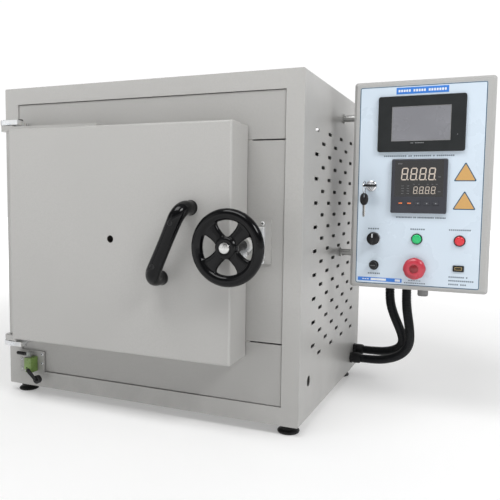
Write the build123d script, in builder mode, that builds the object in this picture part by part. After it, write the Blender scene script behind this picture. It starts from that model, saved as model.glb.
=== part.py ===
from build123d import *
import math
import os

# A front-loading laboratory kiln (muffle furnace): a ventilated steel casing round a
# brick-lined chamber, a side-hinged plug door with a handwheel clamp, and a separate
# control box carried on two rods from the casing's right side.
# Millimetres. Row frame: +X right, +Y into the casing, +Z up, feet on Z = 0.

os.makedirs("parts", exist_ok=True)

# ---------------------------------------------------------------- driving dimensions
casing_w = 640
casing_h = 610
casing_d = 470
sheet = 1.5
flange_w = 32.4
foot_h = 18
running_fit = 0.05

door_t = 72
door_left = -245
door_right = 221
door_low = 115
door_high = 520
tray_depth = 36

chamber_x = -14
chamber_z = 318
chamber_w = 280
chamber_h = 260
chamber_d = 310
brick = 60
blanket = 40
brick_front = 4

hinge_x = -272
hinge_y = -48
clamp_x = 231
clamp_z = 316
handle_reach = 50

box_left = 369
box_low = 233
box_w = 242
box_h = 375
box_front = 146
box_back = 326
lid_depth = 20

cover_depth = 40

# the row origin lies under the middle of the whole object's box
row_x = (casing_w / 2 - (box_left + box_w)) / 2
row_y = ((door_t + handle_reach) - (casing_d + cover_depth)) / 2
half_w = casing_w / 2


# ---------------------------------------------------------------- planes and helpers
# Places are given from the casing: x from its centre line, y behind its front face,
# z above its base.
def plan(z):
    """Level plane at height z, seen from above."""
    return Plane(origin=(row_x, row_y, foot_h + z), x_dir=(1, 0, 0), z_dir=(0, 0, 1))


def face(y):
    """Upright plane at depth y, seen from the front; extruding comes towards the user."""
    return Plane(origin=(row_x, row_y + y, foot_h), x_dir=(1, 0, 0), z_dir=(0, -1, 0))


def side(x):
    """Upright plane at x, seen from the right; extruding goes to the right."""
    return Plane(origin=(row_x + x, row_y, foot_h), x_dir=(0, 1, 0), z_dir=(1, 0, 0))


def spot(x, y, z):
    """A point of the row frame from casing coordinates."""
    return Vector(row_x + x, row_y + y, foot_h + z)


def slab(x0, x1, y0, y1, z0, z1, mode=Mode.ADD):
    """A straight-sided block between two corners."""
    with BuildSketch(face(y1)) as outline:
        with Locations(((x0 + x1) / 2, (z0 + z1) / 2)):
            Rectangle(x1 - x0, z1 - z0)
    extrude(outline.sketch, amount=y1 - y0, mode=mode)


def bar_y(x, z, r, y0, y1, mode=Mode.ADD):
    """A round bar, or a bore, along Y."""
    with BuildSketch(face(y1)) as outline:
        with Locations((x, z)):
            Circle(r)
    extrude(outline.sketch, amount=y1 - y0, mode=mode)


def bar_z(x, y, r, z0, z1, mode=Mode.ADD):
    """A round bar, or a bore, along Z."""
    with BuildSketch(plan(z0)) as outline:
        with Locations((x, y)):
            Circle(r)
    extrude(outline.sketch, amount=z1 - z0, mode=mode)


def bar_x(y, z, r, x0, x1, mode=Mode.ADD):
    """A round bar, or a bore, along X."""
    with BuildSketch(side(x0)) as outline:
        with Locations((y, z)):
            Circle(r)
    extrude(outline.sketch, amount=x1 - x0, mode=mode)


def frame_ring(x0, x1, z0, z1, wall, y0, y1):
    """A rectangular ring of the given wall, seen from the front."""
    with BuildSketch(face(y1)) as outline:
        with Locations(((x0 + x1) / 2, (z0 + z1) / 2)):
            Rectangle(x1 - x0, z1 - z0)
            Rectangle(x1 - x0 - 2 * wall, z1 - z0 - 2 * wall, mode=Mode.SUBTRACT)
    extrude(outline.sketch, amount=y1 - y0)


def save(name, label):
    """Label a finished piece and write its STEP file."""
    name.part.label = label
    export_step(name.part, "parts/" + label + ".step")


# ---------------------------------------------------------------- casing
corner_r = 3
vent_l = 25
vent_h = 6.5
vent_pitch_y = 87.4
vent_pitch_z = 43.3
vent_first_y = 79
vent_first_z = 517.7
vent_cols = 4
vent_rows = 10
side_hole_y = 57
side_hole_z = 68.6
gland_front_y = 396
gland_front_z = 31
gland_rear_y = 428
gland_rear_z = 44
lip_depth = 12
inner_half_w = half_w - flange_w


def vent_slots():
    """Two staggered grids of rounded slots, cut through both side walls."""
    mid_y = vent_first_y + vent_pitch_y * (vent_cols - 1) / 2
    mid_z = vent_first_z - vent_pitch_z * (vent_rows - 1) / 2
    with BuildSketch(side(-half_w - 1)) as slots:
        with Locations((mid_y, mid_z)):
            with GridLocations(vent_pitch_y, vent_pitch_z, vent_cols, vent_rows):
                SlotOverall(vent_l, vent_h)
        with Locations((mid_y + vent_pitch_y / 2, mid_z - vent_pitch_z / 2)):
            with GridLocations(vent_pitch_y, vent_pitch_z, vent_cols, vent_rows):
                SlotOverall(vent_l, vent_h)
    extrude(slots.sketch, amount=casing_w + 2, mode=Mode.SUBTRACT)


weld_gap = 0.04
wrap_front = sheet + weld_gap
corner_in = half_w - corner_r

with BuildPart() as casing:
    with BuildSketch(face(casing_d)):
        with Locations((0, casing_h / 2)):
            RectangleRounded(casing_w, casing_h, corner_r)
            Rectangle(casing_w - 2 * sheet, casing_h - 2 * sheet, mode=Mode.SUBTRACT)
        with Locations((0, sheet / 2)):
            Rectangle(casing_w - 2 * sheet, sheet, mode=Mode.SUBTRACT)
        with Locations((-corner_in, casing_h - sheet), (corner_in, casing_h - sheet)):
            Rectangle(weld_gap, 3 * sheet, mode=Mode.SUBTRACT)
    extrude(amount=casing_d - wrap_front)
    vent_slots()
    bar_x(side_hole_y, side_hole_z, 10, half_w - 3, half_w + 1, mode=Mode.SUBTRACT)
    bar_x(gland_front_y, gland_front_z, 8, half_w - 3, half_w + 1, mode=Mode.SUBTRACT)
    bar_x(gland_rear_y, gland_rear_z, 8, half_w - 3, half_w + 1, mode=Mode.SUBTRACT)
    with BuildSketch(face(sheet)):
        with Locations((0, casing_h / 2)):
            RectangleRounded(casing_w, casing_h, corner_r)
            Rectangle(2 * inner_half_w, casing_h - 2 * flange_w, mode=Mode.SUBTRACT)
    extrude(amount=sheet)
    frame_ring(
        -inner_half_w - sheet,
        inner_half_w + sheet,
        flange_w - sheet,
        casing_h - flange_w + sheet,
        sheet,
        sheet,
        lip_depth,
    )
save(casing, "casing")

foot_x = 294
foot_front = 26
foot_back = casing_d - 60
foot_back_x = 240
foot_spots = [
    (-foot_x, foot_front),
    (foot_x, foot_front),
    (-foot_back_x, foot_back),
    (foot_back_x, foot_back),
]

with BuildPart() as base_pan:
    pan_half = half_w - sheet
    slab(-pan_half, pan_half, sheet, casing_d - sheet, 0, sheet)
    for edge in (-1, 1):
        inner_edge = edge * (pan_half - sheet)
        outer_edge = edge * pan_half
        slab(min(inner_edge, outer_edge), max(inner_edge, outer_edge), 14, casing_d - sheet, 0, 20)
    for x, y in foot_spots:
        bar_z(x, y, 4.3, -1, sheet + 1, mode=Mode.SUBTRACT)
save(base_pan, "base_pan")

pad_r = 20
neck_r = 14.5
pad_h = 6.5
stud_r = 4
with BuildPart() as levelling_feet:
    with BuildSketch(Plane.XZ) as foot_profile:
        with BuildLine():
            Polyline(
                (0, -foot_h),
                (pad_r - 1, -foot_h),
                (pad_r, -foot_h + 1.5),
                (pad_r, -foot_h + pad_h - 2),
                (pad_r - 2, -foot_h + pad_h),
                (neck_r, -foot_h + pad_h + 1.5),
                (neck_r, 0),
                (stud_r, 0),
                (stud_r, 16),
                (0, 16),
                close=True,
            )
        make_face()
    one_foot = revolve(foot_profile.sketch, axis=Axis.Z, mode=Mode.PRIVATE)
    for x, y in foot_spots:
        add(one_foot.moved(Location(spot(x, y, 0))))
save(levelling_feet, "levelling_feet")

# ---------------------------------------------------------------- front fascia
fascia_y = 2
seam_low = 143
seam_high = 494
seam_gap = 2.4
panel_half = inner_half_w - 1
mouth_left = -204
mouth_right = 176


def fascia_panel(x0, x1, z0, z1):
    """A flat strip with softly folded front edges."""
    with BuildSketch(face(fascia_y + sheet)) as outline:
        with Locations(((x0 + x1) / 2, (z0 + z1) / 2)):
            RectangleRounded(x1 - x0, z1 - z0, 1)
    strip = extrude(outline.sketch, amount=sheet)
    front_edges = strip.faces().sort_by(Axis.Y)[0].edges()
    chamfer(front_edges, 0.6)


with BuildPart() as fascia_panels:
    fascia_panel(-panel_half, panel_half, seam_high + seam_gap / 2, casing_h - flange_w - 1)
    fascia_panel(-panel_half, panel_half, flange_w + 1, seam_low - seam_gap / 2)
    fascia_panel(mouth_right, panel_half, seam_low + seam_gap / 2, seam_high - seam_gap / 2)
    fascia_panel(-panel_half, mouth_left, seam_low + seam_gap / 2, seam_high - seam_gap / 2)
save(fascia_panels, "fascia_panels")

# ---------------------------------------------------------------- chamber lining
ch_left = chamber_x - chamber_w / 2
ch_right = chamber_x + chamber_w / 2
ch_low = chamber_z - chamber_h / 2
ch_high = chamber_z + chamber_h / 2
ch_back = brick_front + chamber_d
brick_back = ch_back + brick + 5
groove_r = 9
groove_sink = 2
groove_count = 5
groove_pitch = 52
groove_front = 34
element_r = 6
element_tail = 452
probe_z = 400
probe_r = 4
groove_heights = [chamber_z + groove_pitch * (i - 2) for i in range(groove_count)]
groove_left = ch_left - groove_sink
groove_right = ch_right + groove_sink
probe_hole_r = probe_r + 0.5

with BuildPart() as refractory_lining:
    slab(ch_left - brick, ch_right + brick, brick_front, brick_back, ch_low - brick, ch_low)
    slab(ch_left - brick, ch_right + brick, brick_front, brick_back, ch_high, ch_high + brick)
    slab(ch_left - brick, ch_left, brick_front, brick_back, ch_low + 0.2, ch_high - 0.2)
    slab(ch_right, ch_right + brick, brick_front, brick_back, ch_low + 0.2, ch_high - 0.2)
    slab(ch_left + 0.2, ch_right - 0.2, ch_back, brick_back, ch_low + 0.2, ch_high - 0.2)
    for z in groove_heights:
        bar_y(groove_left, z, groove_r, groove_front, brick_back + 1, mode=Mode.SUBTRACT)
        bar_y(groove_right, z, groove_r, groove_front, brick_back + 1, mode=Mode.SUBTRACT)
    bar_y(chamber_x, probe_z, probe_hole_r, ch_back - 1, brick_back + 1, mode=Mode.SUBTRACT)
save(refractory_lining, "refractory_lining")

with BuildPart() as heating_elements:
    for x, inward in ((groove_left, 1), (groove_right, -1)):
        link = sorted((x + inward * (groove_sink + 0.5), x + inward * (groove_sink + 3.5)))
        for z in groove_heights:
            bar_y(x, z, element_r, groove_front + 4, ch_back - 6)
        for i in range(groove_count - 1):
            y0 = groove_front + 4 if i % 2 == 1 else ch_back - 14
            slab(*link, y0, y0 + 8, groove_heights[i], groove_heights[i + 1])
        for z in (groove_heights[0], groove_heights[-1]):
            bar_y(x, z, 4, ch_back - 10, element_tail)
save(heating_elements, "heating_elements")

lining_back = brick_back + blanket
lining = [ch_left - brick, ch_right + brick, ch_low - brick, ch_high + brick]


def lead_holes(r, y0, y1):
    """The holes that the element tails and the probe pass through."""
    for x in (groove_left, groove_right):
        for z in (groove_heights[0], groove_heights[-1]):
            bar_y(x, z, r, y0, y1, mode=Mode.SUBTRACT)
    bar_y(chamber_x, probe_z, r, y0, y1, mode=Mode.SUBTRACT)


with BuildPart() as insulation_blanket:
    slab(
        lining[0] - blanket,
        lining[1] + blanket,
        brick_front,
        lining_back,
        lining[2] - blanket,
        lining[3] + blanket,
    )
    slab(lining[0], lining[1], 0, brick_back, lining[2], lining[3], mode=Mode.SUBTRACT)
    lead_holes(5.5, brick_back - 1, lining_back + 1)
save(insulation_blanket, "insulation_blanket")

can = [
    lining[0] - blanket - sheet,
    lining[1] + blanket + sheet,
    lining[2] - blanket - sheet,
    lining[3] + blanket + sheet,
]
rail_w = 30
with BuildPart() as inner_case:
    slab(can[0], can[1], brick_front, lining_back + sheet, can[2], can[3])
    slab(
        can[0] + sheet,
        can[1] - sheet,
        0,
        lining_back,
        can[2] + sheet,
        can[3] - sheet,
        mode=Mode.SUBTRACT,
    )
    for x in (can[0] + 20, can[1] - 20 - rail_w):
        slab(x, x + rail_w, 40, lining_back - 20, sheet, can[2])
        slab(x + 2, x + rail_w - 2, 0, lining_back, sheet - 1, can[2] - 2, mode=Mode.SUBTRACT)
    lead_holes(7, lining_back - 1, lining_back + 3)
save(inner_case, "inner_case")

plate_t = 12
hearth_front = 32
hearth_gap = 8
with BuildPart() as hearth_plate:
    slab(ch_left + hearth_gap, ch_right - hearth_gap, hearth_front, ch_back - 14, ch_low, ch_low + plate_t)
    plate_edges = hearth_plate.edges().filter_by(Axis.Z)
    fillet(plate_edges, 6)
save(hearth_plate, "hearth_plate")

probe_reach = 40
with BuildPart() as thermocouple:
    bar_y(chamber_x, probe_z, probe_r, ch_back - probe_reach, casing_d + 6)
    bar_y(chamber_x, probe_z, 16, casing_d + 6, casing_d + 26)
    tip_edges = thermocouple.faces().sort_by(Axis.Y)[0].edges()
    fillet(tip_edges, 3)
save(thermocouple, "thermocouple")

# ---------------------------------------------------------------- rear
rear_half = half_w - sheet - 0.2
cover_w = 340
cover_h = 260
with BuildPart() as rear_panel:
    slab(-rear_half, rear_half, casing_d - sheet, casing_d, sheet + 0.2, casing_h - sheet - 0.2)
    with BuildSketch(face(casing_d + 1)):
        with Locations((0, 70), (0, 540)):
            with GridLocations(44, 18, 10, 4):
                SlotOverall(vent_l, vent_h)
    extrude(amount=4, mode=Mode.SUBTRACT)
    with BuildSketch(face(casing_d + 1)):
        with Locations((chamber_x, chamber_z)):
            RectangleRounded(cover_w - 40, cover_h - 30, 8)
    extrude(amount=4, mode=Mode.SUBTRACT)
save(rear_panel, "rear_panel")

with BuildPart() as terminal_cover:
    with BuildSketch(face(casing_d + cover_depth)):
        with Locations((chamber_x, chamber_z)):
            RectangleRounded(cover_w, cover_h, 6)
    extrude(amount=cover_depth)
    back_rim = terminal_cover.faces().sort_by(Axis.Y)[-1].edges()
    fillet(back_rim, 3)
    with BuildSketch(face(casing_d + cover_depth - sheet)):
        with Locations((chamber_x, chamber_z)):
            RectangleRounded(cover_w - 2 * sheet, cover_h - 2 * sheet, 4.5)
    extrude(amount=cover_depth, mode=Mode.SUBTRACT)
    with BuildSketch(face(casing_d + cover_depth + 1)):
        with Locations((chamber_x, chamber_z)):
            with GridLocations(44, 26, 6, 6):
                SlotOverall(vent_l, vent_h)
    extrude(amount=4, mode=Mode.SUBTRACT)
save(terminal_cover, "terminal_cover")

# ---------------------------------------------------------------- door
peep_x = -14
peep_z = 319
peep_r = 6.75
tray_r = 4
band_inset = 1.5
band_left = door_left + band_inset
band_right = door_right - band_inset
band_low = door_low + band_inset
band_high = door_high - band_inset
door_back = -1
back_lip = 30

with BuildPart() as door_skin:
    slab(door_left, door_right, -door_t, tray_depth - door_t, door_low, door_high)
    upright_edges = door_skin.edges().filter_by(Axis.Y)
    fillet(upright_edges, 2.5)
    rim_edges = door_skin.faces().sort_by(Axis.Y)[0].edges()
    fillet(rim_edges, tray_r)
    slab(
        door_left + sheet,
        door_right - sheet,
        sheet - door_t,
        0,
        door_low + sheet,
        door_high - sheet,
        mode=Mode.SUBTRACT,
    )
    bar_y(peep_x, peep_z, peep_r, -door_t - 1, 0, mode=Mode.SUBTRACT)
save(door_skin, "door_skin")

with BuildPart() as door_frame:
    frame_ring(band_left, band_right, band_low, band_high, sheet, tray_depth - door_t, door_back)
    frame_ring(
        band_left + 1,
        band_right - 1,
        band_low + 1,
        band_high - 1,
        back_lip,
        door_back - sheet,
        door_back,
    )
save(door_frame, "door_frame")

plug_half_w = 132
plug_half_h = 122
plug_taper = 4
plug_depth = 25
tube_r = 9
board_y = door_back - sheet
board_gap = 3
with BuildPart() as door_insulation:
    slab(
        door_left + board_gap + sheet,
        door_right - board_gap - sheet,
        2 * sheet - door_t,
        board_y,
        door_low + board_gap + sheet,
        door_high - board_gap - sheet,
    )
    with BuildSketch(face(board_y)) as plug_root:
        with Locations((chamber_x, chamber_z)):
            Rectangle(2 * plug_half_w, 2 * plug_half_h)
    with BuildSketch(face(plug_depth)) as plug_nose:
        with Locations((chamber_x, chamber_z)):
            Rectangle(2 * (plug_half_w - plug_taper), 2 * (plug_half_h - plug_taper))
    loft()
    bar_y(peep_x, peep_z, tube_r, -door_t, plug_depth + 1, mode=Mode.SUBTRACT)
save(door_insulation, "door_insulation")

gasket_half_w = 172
gasket_half_h = 149
gasket_w = 10
with BuildPart() as door_gasket:
    frame_ring(
        chamber_x - gasket_half_w,
        chamber_x + gasket_half_w,
        chamber_z - gasket_half_h,
        chamber_z + gasket_half_h,
        gasket_w,
        board_y,
        brick_front - 0.4,
    )
    fillet(door_gasket.faces().sort_by(Axis.Y)[-1].edges(), 2.5)
save(door_gasket, "door_gasket")

with BuildPart() as peephole_tube:
    bar_y(peep_x, peep_z, tube_r, sheet - door_t, plug_depth)
    bar_y(peep_x, peep_z, peep_r, -door_t, plug_depth + 1, mode=Mode.SUBTRACT)
save(peephole_tube, "peephole_tube")

handle_low = (91.5, 256.2)
handle_high = (147.2, 377.3)
handle_axis_y = 37
grip_r = 13
handle_bend = 24
handle_len = math.dist(handle_low, handle_high)
handle_plane = Plane(
    origin=spot(handle_low[0], -door_t, handle_low[1]),
    x_dir=(handle_high[0] - handle_low[0], 0, handle_high[1] - handle_low[1]),
    z_dir=(handle_high[1] - handle_low[1], 0, handle_low[0] - handle_high[0]),
)
out = -1 if handle_plane.y_dir.Y > 0 else 1
with BuildPart() as door_handle:
    with BuildLine(handle_plane) as handle_path:
        FilletPolyline(
            (0, 0),
            (0, out * handle_axis_y),
            (handle_len, out * handle_axis_y),
            (handle_len, 0),
            radius=handle_bend,
        )
    with BuildSketch(face(-door_t)):
        with Locations(handle_low):
            Circle(grip_r)
    sweep(path=handle_path.line)
save(door_handle, "door_handle")

# ---------------------------------------------------------------- hinges
bracket_t = 9
bracket_r = 10.5
pin_r = 6
arm_t = 10
arm_gap = 2
leg_left = -304
leg_right = -262
leg_h = 19
leg_t = 3
strap_t = 5
strap_right = -50
strap_front = -62
strap_back = -20
arm_front = -62
arm_back = -38
knuckle_r = 9
arm_lows = (door_low - 7, door_high - 2.5)
# each bracket plate stands off its arm: below the lower arm and above the upper one
bracket_lows = (arm_lows[0] - arm_gap - bracket_t, arm_lows[1] + arm_t + arm_gap)
leg_lows = (bracket_lows[0] + bracket_t, bracket_lows[1] - leg_h)

with BuildPart() as hinge_brackets:
    for low, leg_low in zip(bracket_lows, leg_lows):
        with BuildSketch(plan(low)):
            with Locations((hinge_x, hinge_y)):
                Circle(bracket_r)
            with Locations(((leg_left + leg_right) / 2, -leg_t / 2)):
                Rectangle(leg_right - leg_left, leg_t)
            with Locations((hinge_x + 34, hinge_y - 5)):
                Rectangle(6, 10)
            make_hull()
        extrude(amount=bracket_t)
        slab(leg_left, leg_right, -leg_t, 0, leg_low, leg_low + leg_h)
        bar_z(hinge_x, hinge_y, pin_r, low - 1, low + bracket_t + 1, mode=Mode.SUBTRACT)
save(hinge_brackets, "hinge_brackets")

with BuildPart() as hinge_arms:
    for low in arm_lows:
        with BuildSketch(plan(low)):
            with Locations((hinge_x, hinge_y)):
                Circle(knuckle_r)
            with Locations((door_left - 2, (arm_front + arm_back) / 2)):
                Rectangle(4, arm_back - arm_front)
            make_hull()
        extrude(amount=arm_t)
    slab(door_left - 4, strap_right, strap_front, strap_back, door_high, door_high + strap_t)
    for low in arm_lows:
        bar_z(hinge_x, hinge_y, pin_r + running_fit, low - 1, low + arm_t + 1, mode=Mode.SUBTRACT)
save(hinge_arms, "hinge_arms")

collar_r = 9
with BuildPart() as hinge_pins:
    lower_knuckle = arm_lows[0]
    bar_z(hinge_x, hinge_y, pin_r, bracket_lows[0] - 1.5, lower_knuckle + arm_t + 1.5)
    bar_z(hinge_x, hinge_y, collar_r, bracket_lows[0] + bracket_t, lower_knuckle - 0.3)
    upper_top = arm_lows[1] + arm_t
    bar_z(hinge_x, hinge_y, pin_r, arm_lows[1] + 0.2, bracket_lows[1] + bracket_t + 1.5)
    bar_z(hinge_x, hinge_y, collar_r, upper_top + 0.3, bracket_lows[1])
save(hinge_pins, "hinge_pins")

bolt_head_r = 4.2
bolt_head_h = 5
bolt_spots = [(-281, -26), (-254, -29)]
bolt_lows = (bracket_lows[0] - bolt_head_h, bracket_lows[1] + bracket_t)
with BuildPart() as hinge_bolts:
    for low in bolt_lows:
        with BuildSketch(plan(low)):
            with Locations(*bolt_spots):
                RegularPolygon(bolt_head_r, 6, major_radius=False)
        extrude(amount=bolt_head_h)
save(hinge_bolts, "hinge_bolts")

# ---------------------------------------------------------------- handwheel clamp
# The spindle rides in a bush in a lug on the door's edge. Its plain tip enters the
# keeper on the fascia with enough room for the door to swing.
lug_front = -46
lug_back = -30
lug_right = 244
lug_half = 24
bush_r = 8
shaft_r = 6
tip_r = 5
tip_bore_r = 6.5
keeper_y = -10
plate_front = -1
wheel_y = -107
rim_r = 53
rim_tube = 9.5
web_t = 11
window_mouth = (20, 5.2)
window_rim = (38.6, 18.6)
window_r = 43
hub_r = 18
boss_r = 12
neck_boss_r = 9
neck_start = -76
hub_front = -118

with BuildPart() as clamp_lug:
    with BuildSketch(face(lug_back)):
        with Locations((door_right + 6, clamp_z)):
            RectangleRounded(12, 2 * lug_half, 2)
        with Locations((clamp_x, clamp_z)):
            Circle(lug_right - clamp_x)
        split(bisect_by=Plane.YZ.offset(door_right), keep=Keep.TOP)
    extrude(amount=lug_back - lug_front)
    bar_y(clamp_x, clamp_z, bush_r, lug_front - 1, lug_back + 1, mode=Mode.SUBTRACT)
save(clamp_lug, "clamp_lug")

with BuildPart() as spindle_bush:
    bar_y(clamp_x, clamp_z, bush_r, lug_front, lug_back)
    bar_y(clamp_x, clamp_z, shaft_r + running_fit, lug_front - 1, lug_back + 1, mode=Mode.SUBTRACT)
save(spindle_bush, "spindle_bush")

with BuildPart() as spindle_collar:
    bar_y(clamp_x, clamp_z, 10, -18, -15)
    bar_y(clamp_x, clamp_z, shaft_r + running_fit, -19, -14, mode=Mode.SUBTRACT)
save(spindle_collar, "spindle_collar")

spindle_head_r = 9.5
with BuildPart() as spindle:
    bar_y(clamp_x, clamp_z, shaft_r, hub_front, -14)
    bar_y(clamp_x, clamp_z, spindle_head_r, hub_front - 3, hub_front)
    bar_y(clamp_x, clamp_z, tip_r, -14, 1.2)
save(spindle, "spindle")

# four broad spokes are left between the windows of a flat web
with BuildSketch() as window:
    with BuildLine():
        Polyline(
            window_rim,
            window_mouth,
            (window_mouth[0], -window_mouth[1]),
            (window_rim[0], -window_rim[1]),
        )
        ThreePointArc((window_rim[0], -window_rim[1]), (window_r, 0), window_rim)
    make_face()
    fillet(window.vertices(), 4)

with BuildPart() as handwheel:
    with BuildSketch(Plane.XY):
        with Locations((rim_r, 0)):
            Circle(rim_tube)
    revolve(axis=Axis.Y)
    with BuildSketch(Plane.XZ.offset(-web_t / 2)):
        Circle(rim_r)
        with PolarLocations(0, 4):
            add(window.sketch, mode=Mode.SUBTRACT)
    extrude(amount=web_t)
    with BuildSketch(Plane.XZ.offset(-boss_r)):
        Circle(hub_r)
    extrude(amount=boss_r + wheel_y - hub_front)
    with BuildSketch(Plane.XZ.offset(wheel_y - neck_start)):
        Circle(boss_r)
    extrude(amount=neck_start - wheel_y)
    with BuildSketch(Plane.XZ.offset(wheel_y - lug_front + 0.4)):
        Circle(neck_boss_r)
    extrude(amount=lug_front - 0.4 - wheel_y)
    with BuildSketch(Plane.XZ.offset(-80)):
        Circle(shaft_r)
    extrude(amount=160, mode=Mode.SUBTRACT)
handwheel.part = handwheel.part.moved(Location(spot(clamp_x, wheel_y, clamp_z)))
save(handwheel, "handwheel")

with BuildPart() as keeper_plate:
    slab(196, 265, plate_front, fascia_y, 282, 358)
    bar_y(clamp_x, clamp_z, tip_bore_r, plate_front - 1, fascia_y + 1, mode=Mode.SUBTRACT)
save(keeper_plate, "keeper_plate")

with BuildPart() as keeper_block:
    slab(223, 254, keeper_y, plate_front, 289, 346)
    front_rim = keeper_block.faces().sort_by(Axis.Y)[0].edges()
    fillet(front_rim, 1.5)
    bar_y(clamp_x, clamp_z, tip_bore_r, keeper_y - 1, 0, mode=Mode.SUBTRACT)
save(keeper_block, "keeper_block")

# ---------------------------------------------------------------- door limit switch
switch_left = -263
switch_right = -245
switch_front = -22
switch_low = 33
switch_high = 64
boot_x = -259
boot_r = 5.5
boot_h = 11
stub_z = 69
stub_r = 4
pivot_x = -251
pivot_z = 38
lever_pin_r = 2.5
roller_x = -232
roller_z = 21
roller_r = 8.5
roller_pin_r = 2

with BuildPart() as switch_plate:
    slab(-292, -228, -sheet, 0, 27, 75)
    fillet(switch_plate.edges().filter_by(Axis.Y), 2)
save(switch_plate, "switch_plate")

with BuildPart() as switch_body:
    slab(switch_left, switch_right, switch_front, -sheet, switch_low, switch_high)
    body_corners = switch_body.edges().filter_by(Axis.Y).sort_by(Axis.Z)
    chamfer(body_corners[:2].sort_by(Axis.X)[0], 5)
    bar_z(boot_x, -12, boot_r, switch_high, switch_high + boot_h)
    bar_x(-12, stub_z, stub_r, -289, boot_x)
    bar_y(pivot_x, pivot_z, lever_pin_r + running_fit, switch_front - 1, -8, mode=Mode.SUBTRACT)
save(switch_body, "switch_body")

lever_front = -24
lever_back = -22.4
with BuildPart() as switch_lever:
    with BuildSketch(face(lever_back)):
        with Locations((pivot_x, pivot_z)):
            Circle(4.5)
        with Locations((roller_x, roller_z)):
            Circle(3.5)
        make_hull()
    extrude(amount=lever_back - lever_front)
    bar_y(pivot_x, pivot_z, lever_pin_r, lever_back, -9)
    bar_y(roller_x, roller_z, roller_pin_r, lever_back, -13.4)
save(switch_lever, "switch_lever")

with BuildPart() as switch_roller:
    bar_y(roller_x, roller_z, roller_r, -22, -14)
    fillet(switch_roller.edges().filter_by(GeomType.CIRCLE), 1)
    bar_y(roller_x, roller_z, roller_pin_r + running_fit, -23, -13, mode=Mode.SUBTRACT)
save(switch_roller, "switch_roller")

# ---------------------------------------------------------------- control box
box_right = box_left + box_w
box_high = box_low + box_h
shell_left = box_left + 11
shell_right = box_right - 11
shell_low = box_low + 5
shell_high = box_high - 5
shell_front = box_front + 8
lid_back = box_front + lid_depth
lid_bevel = 5.5
lid_corner_r = 6
lid_hinge_x = shell_right + 4
lid_pin_r = 2
ear_t = 3
ear_r = 4
rod_y = 268
rod_r = 6.5
rod_heights = (286.5, 561)
box_gland_front = (456, 291)
box_gland_rear = (419, 311)
box_plug = (497, 205)
plug_r = 11
plug_h = 23

with BuildPart() as box_shell:
    slab(shell_left, shell_right, shell_front, box_back, shell_low, shell_high)
    fillet(box_shell.edges().filter_by(Axis.Y), 2)
    slab(
        shell_left + sheet,
        shell_right - sheet,
        shell_front - 1,
        box_back - sheet,
        shell_low + sheet,
        shell_high - sheet,
        mode=Mode.SUBTRACT,
    )
    for ear_low in (shell_low, shell_high - ear_t):
        with BuildSketch(plan(ear_low)):
            with Locations((lid_hinge_x, lid_back)):
                Circle(ear_r)
            with Locations((shell_right - sheet / 2, lid_back + 2)):
                Rectangle(sheet, 12)
            make_hull()
        extrude(amount=ear_t)
    bar_z(lid_hinge_x, lid_back, lid_pin_r, shell_low - 1, shell_high + 1, mode=Mode.SUBTRACT)
    for x, y in (box_gland_front, box_gland_rear, box_plug):
        bar_z(x, y, 8, shell_low - 1, shell_low + 3, mode=Mode.SUBTRACT)
save(box_shell, "box_shell")

with BuildPart() as box_hinge_pins:
    bar_z(lid_hinge_x, lid_back, lid_pin_r, box_low, shell_low + ear_t)
    bar_z(lid_hinge_x, lid_back, lid_pin_r, shell_high - ear_t, box_high)
save(box_hinge_pins, "box_hinge_pins")

with BuildPart() as support_rods:
    for z in rod_heights:
        bar_x(rod_y, z, rod_r, half_w, shell_left)
save(support_rods, "support_rods")

# places on the box front, from its lower left corner
touch_at = (120.6, 297.3)
control_at = (120.8, 187.1)
lock_at = (36.4, 187.6)
select_at = (43.6, 91.2)
green_at = (120.2, 92.9)
red_at = (192.9, 92.1)
fuse_at = (45.1, 42.3)
stop_at = (119.1, 40.5)
usb_at = (192.7, 43.4)
round_cutouts = {select_at: 8, green_at: 7, red_at: 7, fuse_at: 6, stop_at: 11, lock_at: 8}
touch_cut = (138, 88)
control_cut = (91, 91)
usb_cut = (14, 8)


def box_spot(place):
    """Casing x and z of a place on the box front."""
    return (box_left + place[0], box_low + place[1])


def panel_cutouts(y0, y1):
    """The holes that the instruments pass through."""
    with BuildSketch(face(y1)) as holes:
        for place, r in round_cutouts.items():
            with Locations(box_spot(place)):
                Circle(r)
        with Locations(box_spot(touch_at)):
            Rectangle(*touch_cut)
        with Locations(box_spot(control_at)):
            Rectangle(*control_cut)
        with Locations(box_spot(usb_at)):
            Rectangle(*usb_cut)
    extrude(holes.sketch, amount=y1 - y0, mode=Mode.SUBTRACT)


with BuildPart() as box_door:
    slab(box_left, box_right, box_front, lid_back, box_low, box_high)
    fillet(box_door.edges().filter_by(Axis.Y), lid_corner_r)
    lid_rim = box_door.faces().sort_by(Axis.Y)[0].edges()
    chamfer(lid_rim, lid_bevel)
    # the fold of the bevelled rim leaves a stepped hollow behind it
    for inset, depth in ((sheet, lid_bevel + sheet), (lid_bevel + 1, sheet)):
        with BuildSketch(face(lid_back + 1)):
            with Locations((box_left + box_w / 2, box_low + box_h / 2)):
                RectangleRounded(box_w - 2 * inset, box_h - 2 * inset, lid_corner_r - sheet)
        extrude(amount=lid_depth + 1 - depth, mode=Mode.SUBTRACT)
    for ear_low in (box_low, box_high - sheet):
        with BuildSketch(plan(ear_low)):
            with Locations((lid_hinge_x, lid_back)):
                Circle(ear_r)
            with Locations((lid_hinge_x, lid_back - 3)):
                Rectangle(2 * ear_r, 6)
        extrude(amount=sheet)
    for z0, z1 in ((box_low - 1, box_low + 3), (box_high - 3, box_high + 1)):
        bar_z(lid_hinge_x, lid_back, lid_pin_r + running_fit, z0, z1, mode=Mode.SUBTRACT)
    panel_cutouts(box_front - 1, box_front + 3)
save(box_door, "box_door")

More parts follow.
